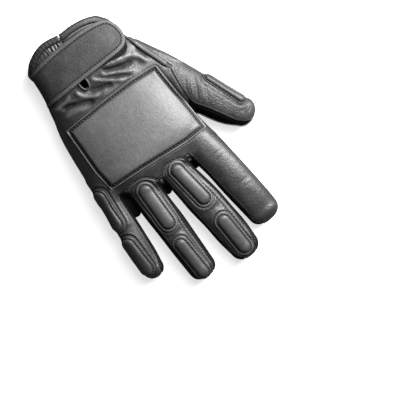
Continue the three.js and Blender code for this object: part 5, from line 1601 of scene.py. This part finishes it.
for outline in (PALM,):
    r = plan_ring(rounded_outline(outline, 1.5, 0.8), 1.9)
    keep = np.array([min(np.hypot(*(r[i] - (x, y))) for x in (0,) for y in (0,)) for i in range(len(r))]) > -1
    P, n = lay(r[keep], top=False, lift=0.75)
    ok = (signed_outline([(-60, -70), (70, -70), (70, 42), (-60, 42)], P[:, 0], P[:, 1]) < 0) & (n[:, 2] < -0.25)
    run = np.split(np.arange(len(P)), np.nonzero(~ok)[0])
    for seg in run:
        seg = seg[ok[seg]]
        if len(seg) > 8:
            stitch_row("palm_stitches", P[seg], n[seg], 2.7, 1.8, 0.3, lift=0.1)
for name, outline in FRONT_LINES.items():
    P2 = np.array(outline)
    keep = P2[:, 1] > 50
    r = curve(P2[keep], 0.8)
    c0 = np.array([r[:, 0].mean(), 0])
    t = unit(np.gradient(r, axis=0))
    r = r + np.stack([-t[:, 1], t[:, 0]], 1) * 1.9
    P, n = lay(r, top=False, lift=0.75)
    ok = n[:, 2] < -0.2
    stitch_row("palm_stitches", P[ok], n[ok], 2.7, 1.8, 0.3, lift=0.1)
for group in STITCH_SETS:
    build_stitches(group, THREAD)

# ------------------------------------------------------------------ floor, world and lights
def floor_material():
    n = Nodes("floor")
    tone = n.ramp(n.noise(180.0, 2.0, 0.5), [(0.3, 0.90), (0.7, 0.92)])
    n.b.inputs["Emission Color"].default_value = (1, 1, 1, 1)
    n.b.inputs["Emission Strength"].default_value = 0.70
    dark = n.t.nodes.new("ShaderNodeBsdfDiffuse")               # what the object sees of it: a dim studio, not a light table
    dark.inputs["Color"].default_value = (0.12, 0.12, 0.12, 1)
    path, mixer = n.t.nodes.new("ShaderNodeLightPath"), n.t.nodes.new("ShaderNodeMixShader")
    n.t.links.new(path.outputs["Is Camera Ray"], mixer.inputs[0])
    n.t.links.new(dark.outputs[0], mixer.inputs[1])
    n.t.links.new(n.b.outputs[0], mixer.inputs[2])
    n.t.links.new(mixer.outputs[0], n.out.inputs[0])
    return n.done(tone, 0.85, n.bump(n.noise(2.0, 2.0, 0.5), 0.02), 0.2)


ground = bpy.data.meshes.new("floor")
ground.from_pydata([(-30, -30, 0), (30, -30, 0), (30, 30, 0), (-30, 30, 0)], [], [(0, 1, 2, 3)])
ground.materials.append(floor_material())
ground_object = bpy.data.objects.new("floor", ground)
COLLECTION.objects.link(ground_object)

world = bpy.data.worlds.new("studio")
bpy.context.scene.world = world
world.use_nodes = True
wt = world.node_tree
wt.nodes.clear()
w_out, mixer, path = wt.nodes.new("ShaderNodeOutputWorld"), wt.nodes.new("ShaderNodeMixShader"), wt.nodes.new("ShaderNodeLightPath")
dim, pale = wt.nodes.new("ShaderNodeBackground"), wt.nodes.new("ShaderNodeBackground")
dim.inputs[0].default_value, dim.inputs[1].default_value = (1, 1, 1, 1), 0.03
pale.inputs[0].default_value, pale.inputs[1].default_value = (1, 1, 1, 1), 1.0
wt.links.new(path.outputs["Is Camera Ray"], mixer.inputs[0])
wt.links.new(dim.outputs[0], mixer.inputs[1])
wt.links.new(pale.outputs[0], mixer.inputs[2])
wt.links.new(mixer.outputs[0], w_out.inputs[0])


def area(name, place, target, size, power):
    light = bpy.data.lights.new(name, "AREA")
    light.shape, light.size, light.energy = "SQUARE", size, power
    o = bpy.data.objects.new(name, light)
    o.location = place
    o.rotation_euler = (Vector(target) - Vector(place)).to_track_quat("-Z", "Y").to_euler()
    o.visible_camera = False
    COLLECTION.objects.link(o)
    return o


area("key", (-0.55, -0.10, 0.38), (0, 0, 0.02), 0.5, 14)
area("side", (-0.5, -0.2, 1.2), (0, 0, 0.02), 0.7, 9)

scene = bpy.context.scene
scene.view_settings.view_transform = "Standard"
scene.view_settings.look = "None"

count = {o.name: sum(len(f.vertices) - 2 for f in o.data.polygons) for o in made.values()}
print("pieces", count, "total", sum(count.values()))
